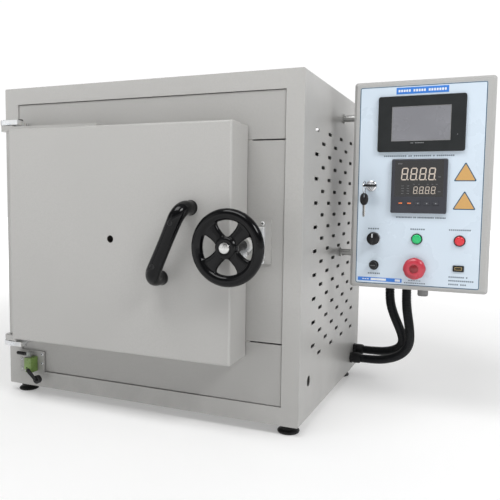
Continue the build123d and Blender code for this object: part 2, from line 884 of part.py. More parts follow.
film_t = 0.5
film_y = box_front - film_t
film_left = 11.5
film_low = 7.9
film_w = 216.5
film_h = 357
with BuildPart() as front_overlay:
    with BuildSketch(face(box_front)):
        with Locations(box_spot((film_left + film_w / 2, film_low + film_h / 2))):
            RectangleRounded(film_w, film_h, 3)
    extrude(amount=film_t)
    panel_cutouts(film_y - 1, box_front + 1)
save(front_overlay, "front_overlay")

touch_x, touch_z = box_spot(touch_at)
touch_face = film_y - 5.5
screen_w = 101
screen_h = 61
screen_t = 1.2
with BuildPart() as touch_panel:
    with BuildSketch(face(film_y)):
        with Locations((touch_x, touch_z)):
            RectangleRounded(150, 98, 4)
    extrude(amount=film_y - touch_face)
    fillet(touch_panel.faces().sort_by(Axis.Y)[0].edges(), 1.5)
    slab(touch_x - 68, touch_x + 68, film_y, film_y + 32, touch_z - 43, touch_z + 43)
    slab(
        touch_x - screen_w / 2,
        touch_x + screen_w / 2,
        touch_face - 1,
        touch_face + screen_t + 0.6,
        touch_z - screen_h / 2,
        touch_z + screen_h / 2,
        mode=Mode.SUBTRACT,
    )
save(touch_panel, "touch_panel")

with BuildPart() as touch_screen:
    slab(
        touch_x - screen_w / 2,
        touch_x + screen_w / 2,
        touch_face + 0.6,
        touch_face + 0.6 + screen_t,
        touch_z - screen_h / 2,
        touch_z + screen_h / 2,
    )
save(touch_screen, "touch_screen")

control_x, control_z = box_spot(control_at)
control_face = film_y - 7
window_w = 84
window_h = 64
window_t = 1.2
window_z = control_z + 13.5
key_w = 9.5
key_h = 5.5
key_pitch = 15.2
key_gap = 0.3
key_depth = 2.4
key_rise = 0.9
key_z = control_z - 30.3
key_xs = [control_x + key_pitch * (i - 2) for i in range(5)]
with BuildPart() as temperature_controller:
    with BuildSketch(face(film_y)):
        with Locations((control_x, control_z)):
            RectangleRounded(96, 96, 2.5)
    extrude(amount=film_y - control_face)
    fillet(temperature_controller.faces().sort_by(Axis.Y)[0].edges(), 1.5)
    slab(control_x - 44.5, control_x + 44.5, film_y, film_y + 72, control_z - 44.5, control_z + 44.5)
    slab(
        control_x - window_w / 2,
        control_x + window_w / 2,
        control_face - 1,
        control_face + window_t,
        window_z - window_h / 2,
        window_z + window_h / 2,
        mode=Mode.SUBTRACT,
    )
    for x in key_xs:
        slab(
            x - key_w / 2 - key_gap,
            x + key_w / 2 + key_gap,
            control_face - 1,
            control_face + key_depth + 1,
            key_z - key_h / 2 - key_gap,
            key_z + key_h / 2 + key_gap,
            mode=Mode.SUBTRACT,
        )
save(temperature_controller, "temperature_controller")

with BuildPart() as controller_window:
    slab(
        control_x - window_w / 2,
        control_x + window_w / 2,
        control_face,
        control_face + window_t,
        window_z - window_h / 2,
        window_z + window_h / 2,
    )
save(controller_window, "controller_window")


def controller_key(x, label):
    """One small push key standing just proud of the controller's face."""
    with BuildPart() as key:
        slab(
            x - key_w / 2,
            x + key_w / 2,
            control_face - key_rise,
            control_face + key_depth,
            key_z - key_h / 2,
            key_z + key_h / 2,
        )
        fillet(key.faces().sort_by(Axis.Y)[0].edges(), 0.6)
    save(key, label)


for i in range(5):
    controller_key(key_xs[i], "controller_key_" + str(i + 1))

lens_r = 8.2
ring_r = 10


def lamp(place, label):
    """A pilot lamp: a low domed lens with its body behind the panel."""
    x, z = box_spot(place)
    with BuildPart() as lens:
        bar_y(x, z, lens_r, film_y - 6, film_y)
        fillet(lens.faces().sort_by(Axis.Y)[0].edges(), 3)
        bar_y(x, z, 6.5, film_y, film_y + 24)
    save(lens, label)


lamp(green_at, "green_lamp")
lamp(red_at, "red_lamp")

select_r = 12.7
stop_r = 20
fuse_r = 8.8
lock_r = 10.2
knob_r = 11.8
cap_r = 7
plug_cyl_r = 6.4


def bezel(place, outer, inner, rise):
    """A raised ring seated on the film."""
    x, z = box_spot(place)
    bar_y(x, z, outer, film_y - rise, film_y)
    bar_y(x, z, inner, film_y - rise - 1, film_y + 1, mode=Mode.SUBTRACT)


def sleeve(place, outer, inner, depth):
    """A threaded sleeve behind a bezel, through the panel."""
    x, z = box_spot(place)
    bar_y(x, z, outer, film_y, film_y + depth)
    bar_y(x, z, inner, film_y - 1, film_y + depth - 3, mode=Mode.SUBTRACT)


stop_stem_r = 8
with BuildPart() as panel_bezels:
    for place in (green_at, red_at):
        bezel(place, ring_r, lens_r + 0.1, 2.5)
    bezel(select_at, select_r, 4, 3)
    sleeve(select_at, 7.8, 3.5 + running_fit, 34)
    bezel(fuse_at, fuse_r, 4, 2.5)
    sleeve(fuse_at, 5.8, 2.5 + running_fit, 26)
    bezel(stop_at, 14.5, stop_stem_r + running_fit, 4)
    sleeve(stop_at, 10.8, stop_stem_r + running_fit, 38)
    bezel(lock_at, lock_r, plug_cyl_r + running_fit, 3)
    sleeve(lock_at, 7.8, plug_cyl_r + running_fit, 18)
save(panel_bezels, "panel_bezels")

select_x, select_z = box_spot(select_at)
select_face = film_y - 3.3
with BuildPart() as selector_knob:
    bar_y(select_x, select_z, knob_r, select_face - 9, select_face)
    slab(select_x - 3, select_x + 3, select_face - 16, select_face - 9, select_z - 11, select_z + 11)
    fillet(selector_knob.faces().sort_by(Axis.Y)[0].edges(), 1.2)
    bar_y(select_x, select_z, 3.5, select_face, film_y + 20)
save(selector_knob, "selector_knob")

fuse_x, fuse_z = box_spot(fuse_at)
fuse_face = film_y - 2.8
with BuildPart() as fuse_cap:
    bar_y(fuse_x, fuse_z, cap_r, fuse_face - 8, fuse_face)
    fillet(fuse_cap.faces().sort_by(Axis.Y)[0].edges(), 1)
    slab(fuse_x - 5, fuse_x + 5, fuse_face - 9, fuse_face - 6.5, fuse_z - 0.6, fuse_z + 0.6, mode=Mode.SUBTRACT)
    bar_y(fuse_x, fuse_z, 2.5, fuse_face, film_y + 14)
save(fuse_cap, "fuse_cap")

stop_x, stop_z = box_spot(stop_at)
stop_travel = 5
stop_back = film_y - 4.5 - stop_travel
with BuildPart() as stop_head:
    bar_y(stop_x, stop_z, stop_r, stop_back - 11, stop_back)
    fillet(stop_head.faces().sort_by(Axis.Y)[0].edges(), 5)
    bar_y(stop_x, stop_z, stop_stem_r, stop_back, film_y + 24)
save(stop_head, "stop_head")

usb_x, usb_z = box_spot(usb_at)
usb_face = film_y - 2
with BuildPart() as usb_port:
    with BuildSketch(face(film_y)):
        with Locations((usb_x, usb_z)):
            RectangleRounded(18.6, 10.9, 1.5)
    extrude(amount=film_y - usb_face)
    slab(usb_x - 6.6, usb_x + 6.6, film_y, film_y + 14, usb_z - 3.6, usb_z + 3.6)
    slab(usb_x - 6, usb_x + 6, usb_face - 1, usb_face + 11, usb_z - 2.4, usb_z + 2.4, mode=Mode.SUBTRACT)
save(usb_port, "usb_port")

# ---------------------------------------------------------------- lock and keys
lock_x, lock_z = box_spot(lock_at)
lock_face = film_y - 3
bow_w = 25
bow_l = 22
bow_t = 4
bow_hole_r = 4
blade_w = 7
blade_t = 2
blade_l = 21
neck_l = 4
bow_y = lock_face - neck_l - bow_l / 2
hole_x = -6.5
hole_y = -3
ring_mid_r = 11.5
ring_wire_r = 0.8
# the ring passes through the level key's hole and round its outer end
ring_x = lock_x + hole_x
ring_y = bow_y + hole_y - 10.8
ring_z = lock_z - 4
# the hanging key's hole bears on the bottom of the ring
spare_off = 5.5
spare_z = ring_z - ring_mid_r + ring_wire_r - 0.3 - bow_hole_r - spare_off
spare_turn = math.radians(-50)


def key_bow(where, hole):
    """A flat oval key head with a ring hole, on a plane through its middle."""
    with BuildSketch(where.offset(-bow_t / 2)) as outline:
        Ellipse(bow_w / 2, bow_l / 2)
        with Locations(hole):
            Circle(bow_hole_r, mode=Mode.SUBTRACT)
    extrude(outline.sketch, amount=bow_t)


with BuildPart() as lock_key:
    key_bow(Plane(origin=spot(lock_x, bow_y, lock_z), x_dir=(1, 0, 0), z_dir=(0, 0, 1)), (hole_x, hole_y))
    slab(
        lock_x - blade_w / 2,
        lock_x + blade_w / 2,
        bow_y + bow_l / 2 - 2,
        lock_face,
        lock_z - blade_t / 2,
        lock_z + blade_t / 2,
    )
    bar_y(lock_x, lock_z, plug_cyl_r, lock_face - 0.5, film_y + 14)
save(lock_key, "lock_key")

spare_dir = (math.sin(spare_turn), -math.cos(spare_turn), 0)
spare_side = (math.cos(spare_turn), math.sin(spare_turn), 0)
spare_plane = Plane(origin=spot(ring_x, ring_y, spare_z), x_dir=spare_side, z_dir=spare_dir)
with BuildPart() as spare_key:
    key_bow(spare_plane, (0, spare_off))
    with BuildSketch(spare_plane.offset(-blade_t / 2)):
        with Locations((0, -bow_l / 2 - blade_l / 2 + 1)):
            Rectangle(blade_w, blade_l + 2)
    extrude(amount=blade_t)
    with BuildSketch(Plane(origin=spot(ring_x, ring_y, ring_z), x_dir=(0, 1, 0), z_dir=(0, 0, 1))):
        with Locations((ring_mid_r, 0)):
            Circle(ring_wire_r)
    revolve(axis=Axis(spot(ring_x, ring_y, ring_z), (1, 0, 0)))
save(spare_key, "spare_key")

# ---------------------------------------------------------------- electrics in the box
with BuildPart() as power_relay:
    slab(440, 540, box_back - sheet - 3, box_back - sheet, 300, 560)
    for low in (330, 430):
        slab(455, 525, box_back - 60, box_back - sheet - 3, low, low + 80)
    for i in range(6):
        slab(460, 520, box_back - 56, box_back - 20, 434 + 13 * i, 436 + 13 * i + 5, mode=Mode.SUBTRACT)
save(power_relay, "power_relay")

# ---------------------------------------------------------------- conduits and glands
conduit_d = 19.5
gland_r = 13.5
nut_r = 12
wall_gland = 24
box_gland = 20
front_route = [
    (344, 396, 31),
    (368, 396, 31),
    (392, 391, 34),
    (415, 382, 42),
    (435, 369, 54),
    (451, 353, 71),
    (460, 336, 92),
    (462, 320, 115),
    (461, 307, 139),
    (458, 297, 164),
    (456, 291, 190),
    (456, 291, 218),
]
rear_route = [
    (344, 428, 44),
    (370, 428, 44),
    (395, 422, 47),
    (417, 411, 55),
    (433, 394, 68),
    (441, 374, 86),
    (440, 355, 107),
    (434, 339, 129),
    (427, 326, 151),
    (421, 316, 174),
    (419, 311, 197),
    (419, 311, 218),
]


def conduit(route, label):
    """A tube of straight runs joined by tangent arcs."""
    stops = [spot(*place) for place in route]
    runs = [(b - a).length for a, b in zip(stops[:-1], stops[1:])]
    heads = [(b - a).normalized() for a, b in zip(stops[:-1], stops[1:])]
    radii = []
    here = stops[0]
    length = 0
    with BuildPart() as tube:
        with BuildLine() as path:
            for i in range(1, len(stops) - 1):
                half_turn = math.radians(heads[i - 1].get_angle(heads[i])) / 2
                cut = 0.45 * min(runs[i - 1], runs[i])
                radii.append(cut / math.tan(half_turn))
                enter = stops[i] - heads[i - 1] * cut
                leave = stops[i] + heads[i] * cut
                Line(here, enter)
                TangentArc(enter, leave, tangent=heads[i - 1])
                length += (enter - here).length + radii[-1] * 2 * half_turn
                here = leave
            Line(here, stops[-1])
            length += (stops[-1] - here).length
        with BuildSketch(Plane(origin=stops[0], z_dir=heads[0])):
            Circle(conduit_d / 2)
        sweep(path=path.line)
    print(label, "arc radii", [round(r) for r in radii])
    print(label, "length", round(length, 1), "runs", [round(r) for r in runs])
    expected = math.pi * conduit_d**2 / 4 * length
    print(label, "volume ratio", round(tube.part.volume / expected, 4))
    save(tube, label)


conduit(front_route, "conduit_front")
conduit(rear_route, "conduit_rear")

with BuildPart() as cable_glands:
    for y, z in ((gland_front_y, gland_front_z), (gland_rear_y, gland_rear_z)):
        bar_x(y, z, gland_r, half_w, half_w + 9)
        bar_x(y, z, nut_r, half_w + 9, half_w + wall_gland)
        bar_x(y, z, 7.8, half_w - 6, half_w)
    for x, y in (box_gland_front, box_gland_rear):
        bar_z(x, y, gland_r, shell_low - 8, shell_low)
        bar_z(x, y, nut_r, shell_low - box_gland, shell_low - 8)
        bar_z(x, y, 7.8, shell_low, shell_low + 6)
    bar_z(box_plug[0], box_plug[1], plug_r, shell_low - plug_h, shell_low)
    bar_z(box_plug[0], box_plug[1], 7.8, shell_low, shell_low + 6)
save(cable_glands, "cable_glands")
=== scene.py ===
"""A laboratory kiln: materials, finer meshes, conduits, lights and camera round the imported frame.

Places are given in millimetres from the casing: x from its centre line, y behind its front
face, z above its base. at() turns them into metres in the row frame.
"""

import math

import bmesh
import bpy
from mathutils import Matrix, Vector


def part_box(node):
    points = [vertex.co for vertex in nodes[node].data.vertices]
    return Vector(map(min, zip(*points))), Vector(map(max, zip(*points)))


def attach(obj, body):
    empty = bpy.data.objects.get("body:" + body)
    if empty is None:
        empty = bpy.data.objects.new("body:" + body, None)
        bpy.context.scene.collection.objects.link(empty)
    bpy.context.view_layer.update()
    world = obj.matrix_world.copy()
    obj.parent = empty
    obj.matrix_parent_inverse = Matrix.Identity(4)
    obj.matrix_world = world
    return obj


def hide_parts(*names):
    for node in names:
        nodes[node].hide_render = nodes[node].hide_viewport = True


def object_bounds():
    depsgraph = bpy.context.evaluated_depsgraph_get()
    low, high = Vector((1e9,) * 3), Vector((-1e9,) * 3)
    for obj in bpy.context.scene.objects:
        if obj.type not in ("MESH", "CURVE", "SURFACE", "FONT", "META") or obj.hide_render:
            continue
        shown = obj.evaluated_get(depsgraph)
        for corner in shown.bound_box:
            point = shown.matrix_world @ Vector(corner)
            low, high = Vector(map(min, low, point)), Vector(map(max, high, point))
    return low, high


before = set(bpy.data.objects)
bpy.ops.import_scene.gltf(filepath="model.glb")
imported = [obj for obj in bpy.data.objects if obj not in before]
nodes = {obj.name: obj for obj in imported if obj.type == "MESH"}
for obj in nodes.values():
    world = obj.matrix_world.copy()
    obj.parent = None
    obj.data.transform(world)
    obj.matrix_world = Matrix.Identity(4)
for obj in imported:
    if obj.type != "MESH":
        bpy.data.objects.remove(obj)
cad_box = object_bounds()

MM = 0.001
TURN = 2 * math.pi
casing_low, casing_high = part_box("casing")
ORIGIN = Vector(((casing_low.x + casing_high.x) / 2, casing_low.y, casing_low.z))
BEHIND = Vector((0, 1, 0))
TOWARDS = Vector((0, -1, 0))
RIGHT = Vector((1, 0, 0))
UP = Vector((0, 0, 1))


def at(x, y, z):
    """A point of the row frame from casing coordinates in millimetres."""
    return ORIGIN + Vector((x, y, z)) * MM


def from_casing(point):
    """Casing coordinates in millimetres of a point of the row frame."""
    return (point - ORIGIN) / MM


def span(node):
    """Lowest and highest corners of a CAD node, in casing millimetres."""
    low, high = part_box(node)
    return from_casing(low), from_casing(high)


def middle(node):
    """Middle of a CAD node's box, in casing millimetres."""
    low, high = span(node)
    return (low + high) / 2


# ---------------------------------------------------------------- materials
class Look:
    """A material built from nodes; every number is in metres or plain ratios."""

    def __init__(self, name, color, roughness=0.5, metallic=0.0, **sockets):
        self.material = bpy.data.materials.new(name)
        self.material.use_nodes = True
        self.tree = self.material.node_tree
        self.shader = self.tree.nodes["Principled BSDF"]
        self.color = color
        self.roughness = roughness
        self.shader.inputs["Base Color"].default_value = (*color, 1)
        self.shader.inputs["Roughness"].default_value = roughness
        self.shader.inputs["Metallic"].default_value = metallic
        for socket, value in sockets.items():
            self.shader.inputs[socket.replace("_", " ")].default_value = value
        self.place = self.node("ShaderNodeTexCoord").outputs["Object"]

    def node(self, kind, **inputs):
        made = self.tree.nodes.new(kind)
        for name, value in inputs.items():
            self.feed(made.inputs[name.replace("_", " ")], value)
        return made

    def feed(self, socket, value):
        if isinstance(value, bpy.types.NodeSocket):
            self.tree.links.new(value, socket)
        else:
            socket.default_value = value

    def stretched(self, scale):
        """Object coordinates stretched by a scale for each axis."""
        mapping = self.node("ShaderNodeMapping", Vector=self.place)
        mapping.inputs["Scale"].default_value = scale
        return mapping.outputs["Vector"]

    def noise(self, scale, detail=3.0, roughness=0.55, place=None):
        made = self.node("ShaderNodeTexNoise", Scale=scale, Detail=detail, Roughness=roughness)
        self.feed(made.inputs["Vector"], place or self.place)
        return made.outputs["Fac"]

    def cells(self, scale, output="Distance", place=None):
        made = self.node("ShaderNodeTexVoronoi", Scale=scale)
        self.feed(made.inputs["Vector"], place or self.place)
        return made.outputs[output]

    def spread(self, value, low, high, to_low=0.0, to_high=1.0):
        made = self.node("ShaderNodeMapRange", Value=value)
        for name, number in zip(("From Min", "From Max", "To Min", "To Max"), (low, high, to_low, to_high)):
            made.inputs[name].default_value = number
        return made.outputs["Result"]

    def product(self, a, b):
        made = self.node("ShaderNodeMath")
        made.operation = "MULTIPLY"
        self.feed(made.inputs[0], a)
        self.feed(made.inputs[1], b)
        return made.outputs[0]

    def tint(self, mask, color):
        """Blend the base colour towards another one where the mask is high."""
        mix = self.tree.nodes.new("ShaderNodeMix")
        mix.data_type = "RGBA"
        self.feed(mix.inputs[0], mask)
        base = self.shader.inputs["Base Color"]
        if base.is_linked:
            self.tree.links.new(base.links[0].from_socket, mix.inputs[6])
        else:
            mix.inputs[6].default_value = (*self.color, 1)
        mix.inputs[7].default_value = (*color, 1)
        self.tree.links.new(mix.outputs[2], base)
        return self

    def flecks(self, scale, detail, low, high, amount, color):
        """Patches of another colour where noise is high."""
        return self.tint(self.spread(self.noise(scale, detail), low, high, 0.0, amount), color)

    def glow(self, color, strength):
        self.shader.inputs["Emission Color"].default_value = (*color, 1)
        self.shader.inputs["Emission Strength"].default_value = strength

    def mottle(self, scale, depth, detail=3.0, place=None):
        """Lighter and darker clouds of the base colour."""
        cloud = self.noise(scale, detail, place=place)
        dark = [channel * (1 - depth) for channel in self.color]
        return self.tint(self.spread(cloud, 0.38, 0.68), dark)

    def rough_clouds(self, scale, low, high, detail=3.0, place=None):
        cloud = self.spread(self.noise(scale, detail, place=place), 0.3, 0.7, low, high)
        self.feed(self.shader.inputs["Roughness"], cloud)
        return self

    def bump(self, height, distance, strength=0.5):
        made = self.node("ShaderNodeBump", Height=height)
        made.inputs["Distance"].default_value = distance
        made.inputs["Strength"].default_value = strength
        normal = self.shader.inputs["Normal"]
        if normal.is_linked:
            self.tree.links.new(normal.links[0].from_socket, made.inputs["Normal"])
        self.tree.links.new(made.outputs["Normal"], normal)
        return self

    def grain(self, scale, distance, strength=0.5, detail=2.0, place=None):
        return self.bump(self.noise(scale, detail, place=place), distance, strength)

    def edge_mask(self, radius, breakup=60.0):
        """High on convex and concave edges, broken up by noise."""
        bevel = self.node("ShaderNodeBevel", Radius=radius)
        flat = self.node("ShaderNodeNewGeometry")
        dot = self.node("ShaderNodeVectorMath")
        dot.operation = "DOT_PRODUCT"
        self.tree.links.new(bevel.outputs["Normal"], dot.inputs[0])
        self.tree.links.new(flat.outputs["Normal"], dot.inputs[1])
        turned = self.spread(dot.outputs["Value"], 0.99, 0.86)
        return self.product(turned, self.spread(self.noise(breakup), 0.42, 0.62))

    def worn(self, color, radius=0.0012, breakup=60.0, amount=0.6):
        return self.tint(self.product(self.edge_mask(radius, breakup), amount), color)

    def low_dust(self, height, color, amount=0.35):
        """A faint grubby band that fades with height above the floor."""
        split = self.node("ShaderNodeSeparateXYZ", Vector=self.place)
        near = self.spread(split.outputs["Z"], height, 0.0)
        patchy = self.product(near, self.spread(self.noise(22.0, 5.0), 0.35, 0.7))
        return self.tint(self.product(patchy, amount), color)


def paint(name, color, roughness=0.36):
    """Light powder coat with orange peel, faint clouds, handling marks and a little wear."""
    made = Look(name, color, roughness, Coat_Weight=0.12, Coat_Roughness=0.25)
    made.mottle(3.5, 0.05)
    made.mottle(420.0, 0.05, detail=1.0)
    made.low_dust(0.09, [channel * 0.62 for channel in color], 0.4)
    made.worn([min(1, channel * 1.25) for channel in color], 0.0014, 70.0, 0.45)
    made.rough_clouds(6.0, roughness - 0.05, roughness + 0.09, 4.0)
    made.grain(650.0, 0.00012, 0.35, 1.0)
    made.grain(14.0, 0.0009, 0.12, 2.0)
    return made.material


def brushed(name, color, roughness, along, metallic=1.0):
    """Metal with fine scratches along one axis."""
    scale = [900.0, 900.0, 900.0]
    scale["XYZ".index(along)] = 18.0
    made = Look(name, color, roughness, metallic)
    lines = made.stretched(scale)
    made.mottle(1.0, 0.14, 2.0, lines)
    made.mottle(9.0, 0.1)
    made.rough_clouds(1.0, roughness - 0.08, roughness + 0.12, 2.0, lines)
    made.bump(made.noise(1.0, 2.0, place=lines), 0.00006, 0.35)
    return made.material


def zinc_plate(name):
    """Bright zinc with a faint yellow and blue passivation."""
    made = Look(name, (0.7, 0.71, 0.72), 0.3, 0.5)
    made.flecks(26.0, 3.0, 0.45, 0.75, 0.5, (0.66, 0.6, 0.46))
    blue = made.noise(34.0, 3.0, place=made.stretched((1, 1, 1.7)))
    made.tint(made.spread(blue, 0.5, 0.8, 0.0, 0.4), (0.5, 0.57, 0.66))
    made.rough_clouds(60.0, 0.22, 0.4, 4.0)
    made.grain(900.0, 0.00005, 0.4)
    return made.material


def spangled(name):
    """Galvanised sheet with crystals."""
    made = Look(name, (0.42, 0.43, 0.44), 0.42, 1.0)
    crystals = made.cells(70.0, "Color")
    made.tint(made.spread(crystals, 0.2, 0.8, 0.0, 0.55), (0.6, 0.61, 0.62))
    made.rough_clouds(90.0, 0.34, 0.55)
    made.grain(300.0, 0.00005, 0.3)
    return made.material


def moulded(name, color, roughness=0.42, grain=1400.0, depth=0.00008, coat=0.0):
    """Moulded plastic or rubber: fine spark-eroded grain, faint clouds and worn edges."""
    shine = 0.22 if max(color) < 0.03 else 0.5
    made = Look(name, color, roughness, Specular_IOR_Level=shine, Coat_Weight=coat, Coat_Roughness=0.12)
    made.mottle(45.0, 0.18)
    made.worn([min(1, channel * 1.5 + 0.02) for channel in color], 0.0007, 120.0, 0.5)
    made.rough_clouds(50.0, max(0.04, roughness - 0.06), roughness + 0.08, 4.0)
    made.grain(grain, depth, 0.4, 1.0)
    return made.material


def glossy_black(name):
    """Cast and polished black finish with soft ripples and small scuffs."""
    black = (0.003, 0.0031, 0.0036)
    made = Look(name, black, 0.2, Specular_IOR_Level=0.15, Coat_Weight=0.12, Coat_Roughness=0.06)
    made.flecks(160.0, 5.0, 0.6, 0.75, 0.3, (0.014, 0.014, 0.015))
    made.worn((0.03, 0.03, 0.032), 0.001, 150.0, 0.3)
    made.rough_clouds(38.0, 0.09, 0.17, 5.0)
    made.grain(120.0, 0.0004, 0.25, 2.0)
    made.grain(900.0, 0.00008, 0.2, 1.0)
    return made.material


def print_ink(name, color, roughness=0.35):
    """Screen-printed ink on film."""
    made = Look(name, color, roughness)
    made.mottle(900.0, 0.08, 1.0)
    made.mottle(20.0, 0.04)
    made.rough_clouds(300.0, roughness - 0.05, roughness + 0.06)
    return made.material


def film(name):
    """Pale printed film: satin, with faint smears and a fine fleck."""
    made = Look(name, (0.6, 0.69, 0.78), 0.28, Coat_Weight=0.25, Coat_Roughness=0.18)
    made.mottle(9.0, 0.035)
    made.mottle(1500.0, 0.03, 1.0)
    made.rough_clouds(14.0, 0.22, 0.36, 5.0)
    made.grain(1100.0, 0.00003, 0.3, 1.0)
    return made.material


def lens(name, color, glow):
    """A lit pilot lens: moulded rings that scatter the light behind."""
    made = Look(name, color, 0.22, Coat_Weight=0.5, Coat_Roughness=0.08)
    made.glow(color, glow)
    made.mottle(200.0, 0.12)
    made.rough_clouds(120.0, 0.16, 0.3)
    made.bump(made.cells(1100.0), 0.00012, 0.25)
    return made.material


def lit_segment(name, color, strength):
    """A glowing stroke of a display."""
    made = Look(name, color, 0.4)
    made.glow(color, strength)
    made.mottle(2600.0, 0.12, 1.0)
    made.rough_clouds(500.0, 0.35, 0.5)
    return made.material


def display_glass(name, color, roughness):
    """A dark front with a hard glossy face and faint wipe marks."""
    made = Look(name, color, roughness, Coat_Weight=0.8, Coat_Roughness=0.05)
    made.mottle(16.0, 0.12, 4.0)
    made.mottle(2.0, 0.1, 1.0, made.stretched((6, 6, 26)))
    made.rough_clouds(24.0, roughness - 0.03, roughness + 0.08, 5.0)
    return made.material


def firebrick(name):
    """Porous light brick with pits, iron flecks and dark mortar lines."""
    made = Look(name, (0.72, 0.66, 0.55), 0.95)
    made.mottle(14.0, 0.2, 5.0)
    made.tint(made.spread(made.cells(180.0), 0.16, 0.06), (0.5, 0.42, 0.3))
    made.flecks(480.0, 2.0, 0.66, 0.74, 0.8, (0.36, 0.24, 0.14))
    courses = made.node("ShaderNodeTexBrick", Scale=1.0)
    sizes = {"Brick Width": 0.228, "Row Height": 0.076, "Mortar Size": 0.0011, "Mortar Smooth": 0.3}
    for socket, value in sizes.items():
        courses.inputs[socket].default_value = value
    split = made.node("ShaderNodeSeparateXYZ", Vector=made.place)
    across = made.node("ShaderNodeMath")
    made.feed(across.inputs[0], split.outputs["X"])
    made.feed(across.inputs[1], split.outputs["Y"])
    joined = made.node("ShaderNodeCombineXYZ", X=across.outputs[0], Y=split.outputs["Z"])
    made.feed(courses.inputs["Vector"], joined.outputs["Vector"])
    made.tint(made.product(courses.outputs["Fac"], 0.75), (0.3, 0.26, 0.2))
    made.bump(made.cells(260.0), 0.0006, 0.5)
    made.grain(900.0, 0.0004, 0.5, 4.0)
    made.bump(made.spread(courses.outputs["Fac"], 0, 1, 1, 0), 0.0012, 0.6)
    return made.material


def fibre(name, color, fleck=0.12):
    """Matted ceramic fibre or board."""
    made = Look(name, color, 1.0)
    made.mottle(30.0, fleck, 5.0)
    made.flecks(700.0, 3.0, 0.62, 0.74, 0.5, [c * 0.7 for c in color])
    made.grain(260.0, 0.0008, 0.5, 5.0)
    made.grain(1300.0, 0.0004, 0.5, 2.0, made.stretched((1, 1, 0.35)))
    return made.material


def fired_slab(name, color):
    """Fired ceramic with dark specks and faint scorching."""
    made = Look(name, color, 0.85)
    made.mottle(18.0, 0.22, 6.0)
    made.flecks(600.0, 2.0, 0.63, 0.72, 0.7, [c * 0.5 for c in color])
    made.flecks(5.0, 3.0, 0.55, 0.75, 0.35, (0.34, 0.25, 0.17))
    made.grain(500.0, 0.0004, 0.6, 4.0)
    return made.material


def hot_alloy(name):
    """Heating wire, scaled grey-brown by firing."""
    made = Look(name, (0.16, 0.13, 0.11), 0.6, 0.7)
    made.mottle(120.0, 0.4, 4.0)
    made.flecks(60.0, 3.0, 0.5, 0.7, 0.5, (0.3, 0.22, 0.16))
    made.rough_clouds(200.0, 0.45, 0.75)
    made.grain(1500.0, 0.0001, 0.5)
    return made.material


def enamel_casting(name, color):
    """Thick enamel over a rough die casting."""
    made = Look(name, color, 0.3, Coat_Weight=0.4, Coat_Roughness=0.15)
    made.mottle(70.0, 0.25, 4.0)
    made.worn((0.45, 0.48, 0.4), 0.0008, 160.0, 0.6)
    made.rough_clouds(120.0, 0.24, 0.42)
    made.grain(420.0, 0.0002, 0.5, 3.0)
    return made.material


def chrome(name):
    """Bright plating with faint clouds in its colour and its roughness."""
    made = Look(name, (0.72, 0.73, 0.75), 0.12, 1.0)
    made.mottle(60.0, 0.1, 4.0)
    made.rough_clouds(140.0, 0.06, 0.22, 4.0)
    made.grain(700.0, 0.00004, 0.25)
    return made.material


body_paint = paint("body_paint", (0.43, 0.425, 0.412))
fascia_paint = paint("fascia_paint", (0.385, 0.38, 0.368), 0.4)
lid_paint = paint("lid_paint", (0.42, 0.418, 0.41), 0.34)
rod_paint = brushed("rod_steel", (0.5, 0.5, 0.49), 0.3, "X")
foot_rubber = moulded("foot_rubber", (0.012, 0.012, 0.012), 0.38, 700.0, 0.0002)
black_gloss = glossy_black("black_gloss")
black_oxide = moulded("black_oxide", (0.009, 0.009, 0.01), 0.38)
zinc = zinc_plate("zinc")
turned_steel = brushed("turned_steel", (0.62, 0.62, 0.61), 0.24, "Y")
pin_steel = brushed("pin_steel", (0.55, 0.55, 0.54), 0.3, "Z")
brass = brushed("brass", (0.7, 0.53, 0.25), 0.3, "Y")
galvanised = spangled("galvanised")
brick_look = firebrick("firebrick")
blanket_look = fibre("blanket", (0.8, 0.79, 0.75))
board_look = fibre("board", (0.74, 0.7, 0.6), 0.16)
rope_look = fibre("rope", (0.7, 0.68, 0.62), 0.2)
slab_look = fired_slab("hearth_slab", (0.5, 0.41, 0.31))
probe_look = fired_slab("probe_ceramic", (0.74, 0.7, 0.62))
# near-black peephole tube: painted shade, the darkness inside the sight hole put into the tube's colour
peephole_shade_look = fired_slab("peephole_tube_painted_shade", (0.03, 0.026, 0.023))
element_look = hot_alloy("element_alloy")
green_enamel = enamel_casting("green_enamel", (0.19, 0.31, 0.07))
boot_rubber = moulded("boot_rubber", (0.4, 0.42, 0.4), 0.5)
black_plastic = moulded("black_plastic", (0.012, 0.012, 0.013), 0.36, coat=0.15)
bezel_plastic = moulded("bezel_plastic", (0.02, 0.022, 0.023), 0.4, 1800.0)
controller_plastic = moulded("controller_plastic", (0.03, 0.032, 0.042), 0.4, 1800.0)
key_rubber = moulded("key_rubber", (0.04, 0.042, 0.052), 0.5, 1600.0)
conduit_plastic = moulded("conduit_plastic", (0.006, 0.007, 0.009), 0.34, 900.0, 0.00006)
gland_plastic = moulded("gland_plastic", (0.012, 0.012, 0.013), 0.4)
grey_plastic = moulded("grey_plastic", (0.22, 0.22, 0.22), 0.45)
stop_red = moulded("stop_red", (0.52, 0.035, 0.06), 0.3, 1500.0, 0.00004, 0.3)
dark_red = moulded("dark_red", (0.24, 0.008, 0.014), 0.3, 1500.0, 0.00004, 0.3)
film_look = film("panel_film")
screen_look = display_glass("screen", (0.2, 0.202, 0.222), 0.24)
window_look = display_glass("window", (0.006, 0.006, 0.007), 0.12)
green_lens = lens("green_lens", (0.0, 0.42, 0.12), 0.25)
red_lens = lens("red_lens", (0.55, 0.008, 0.018), 0.25)
chrome_look = chrome("chrome")
heat_sink = brushed("heat_sink", (0.4, 0.4, 0.42), 0.4, "Z")
teal_ink = print_ink("teal_ink", (0.012, 0.075, 0.14))
blue_ink = print_ink("blue_ink", (0.035, 0.2, 0.66))
slate_ink = print_ink("slate_ink", (0.13, 0.17, 0.21))
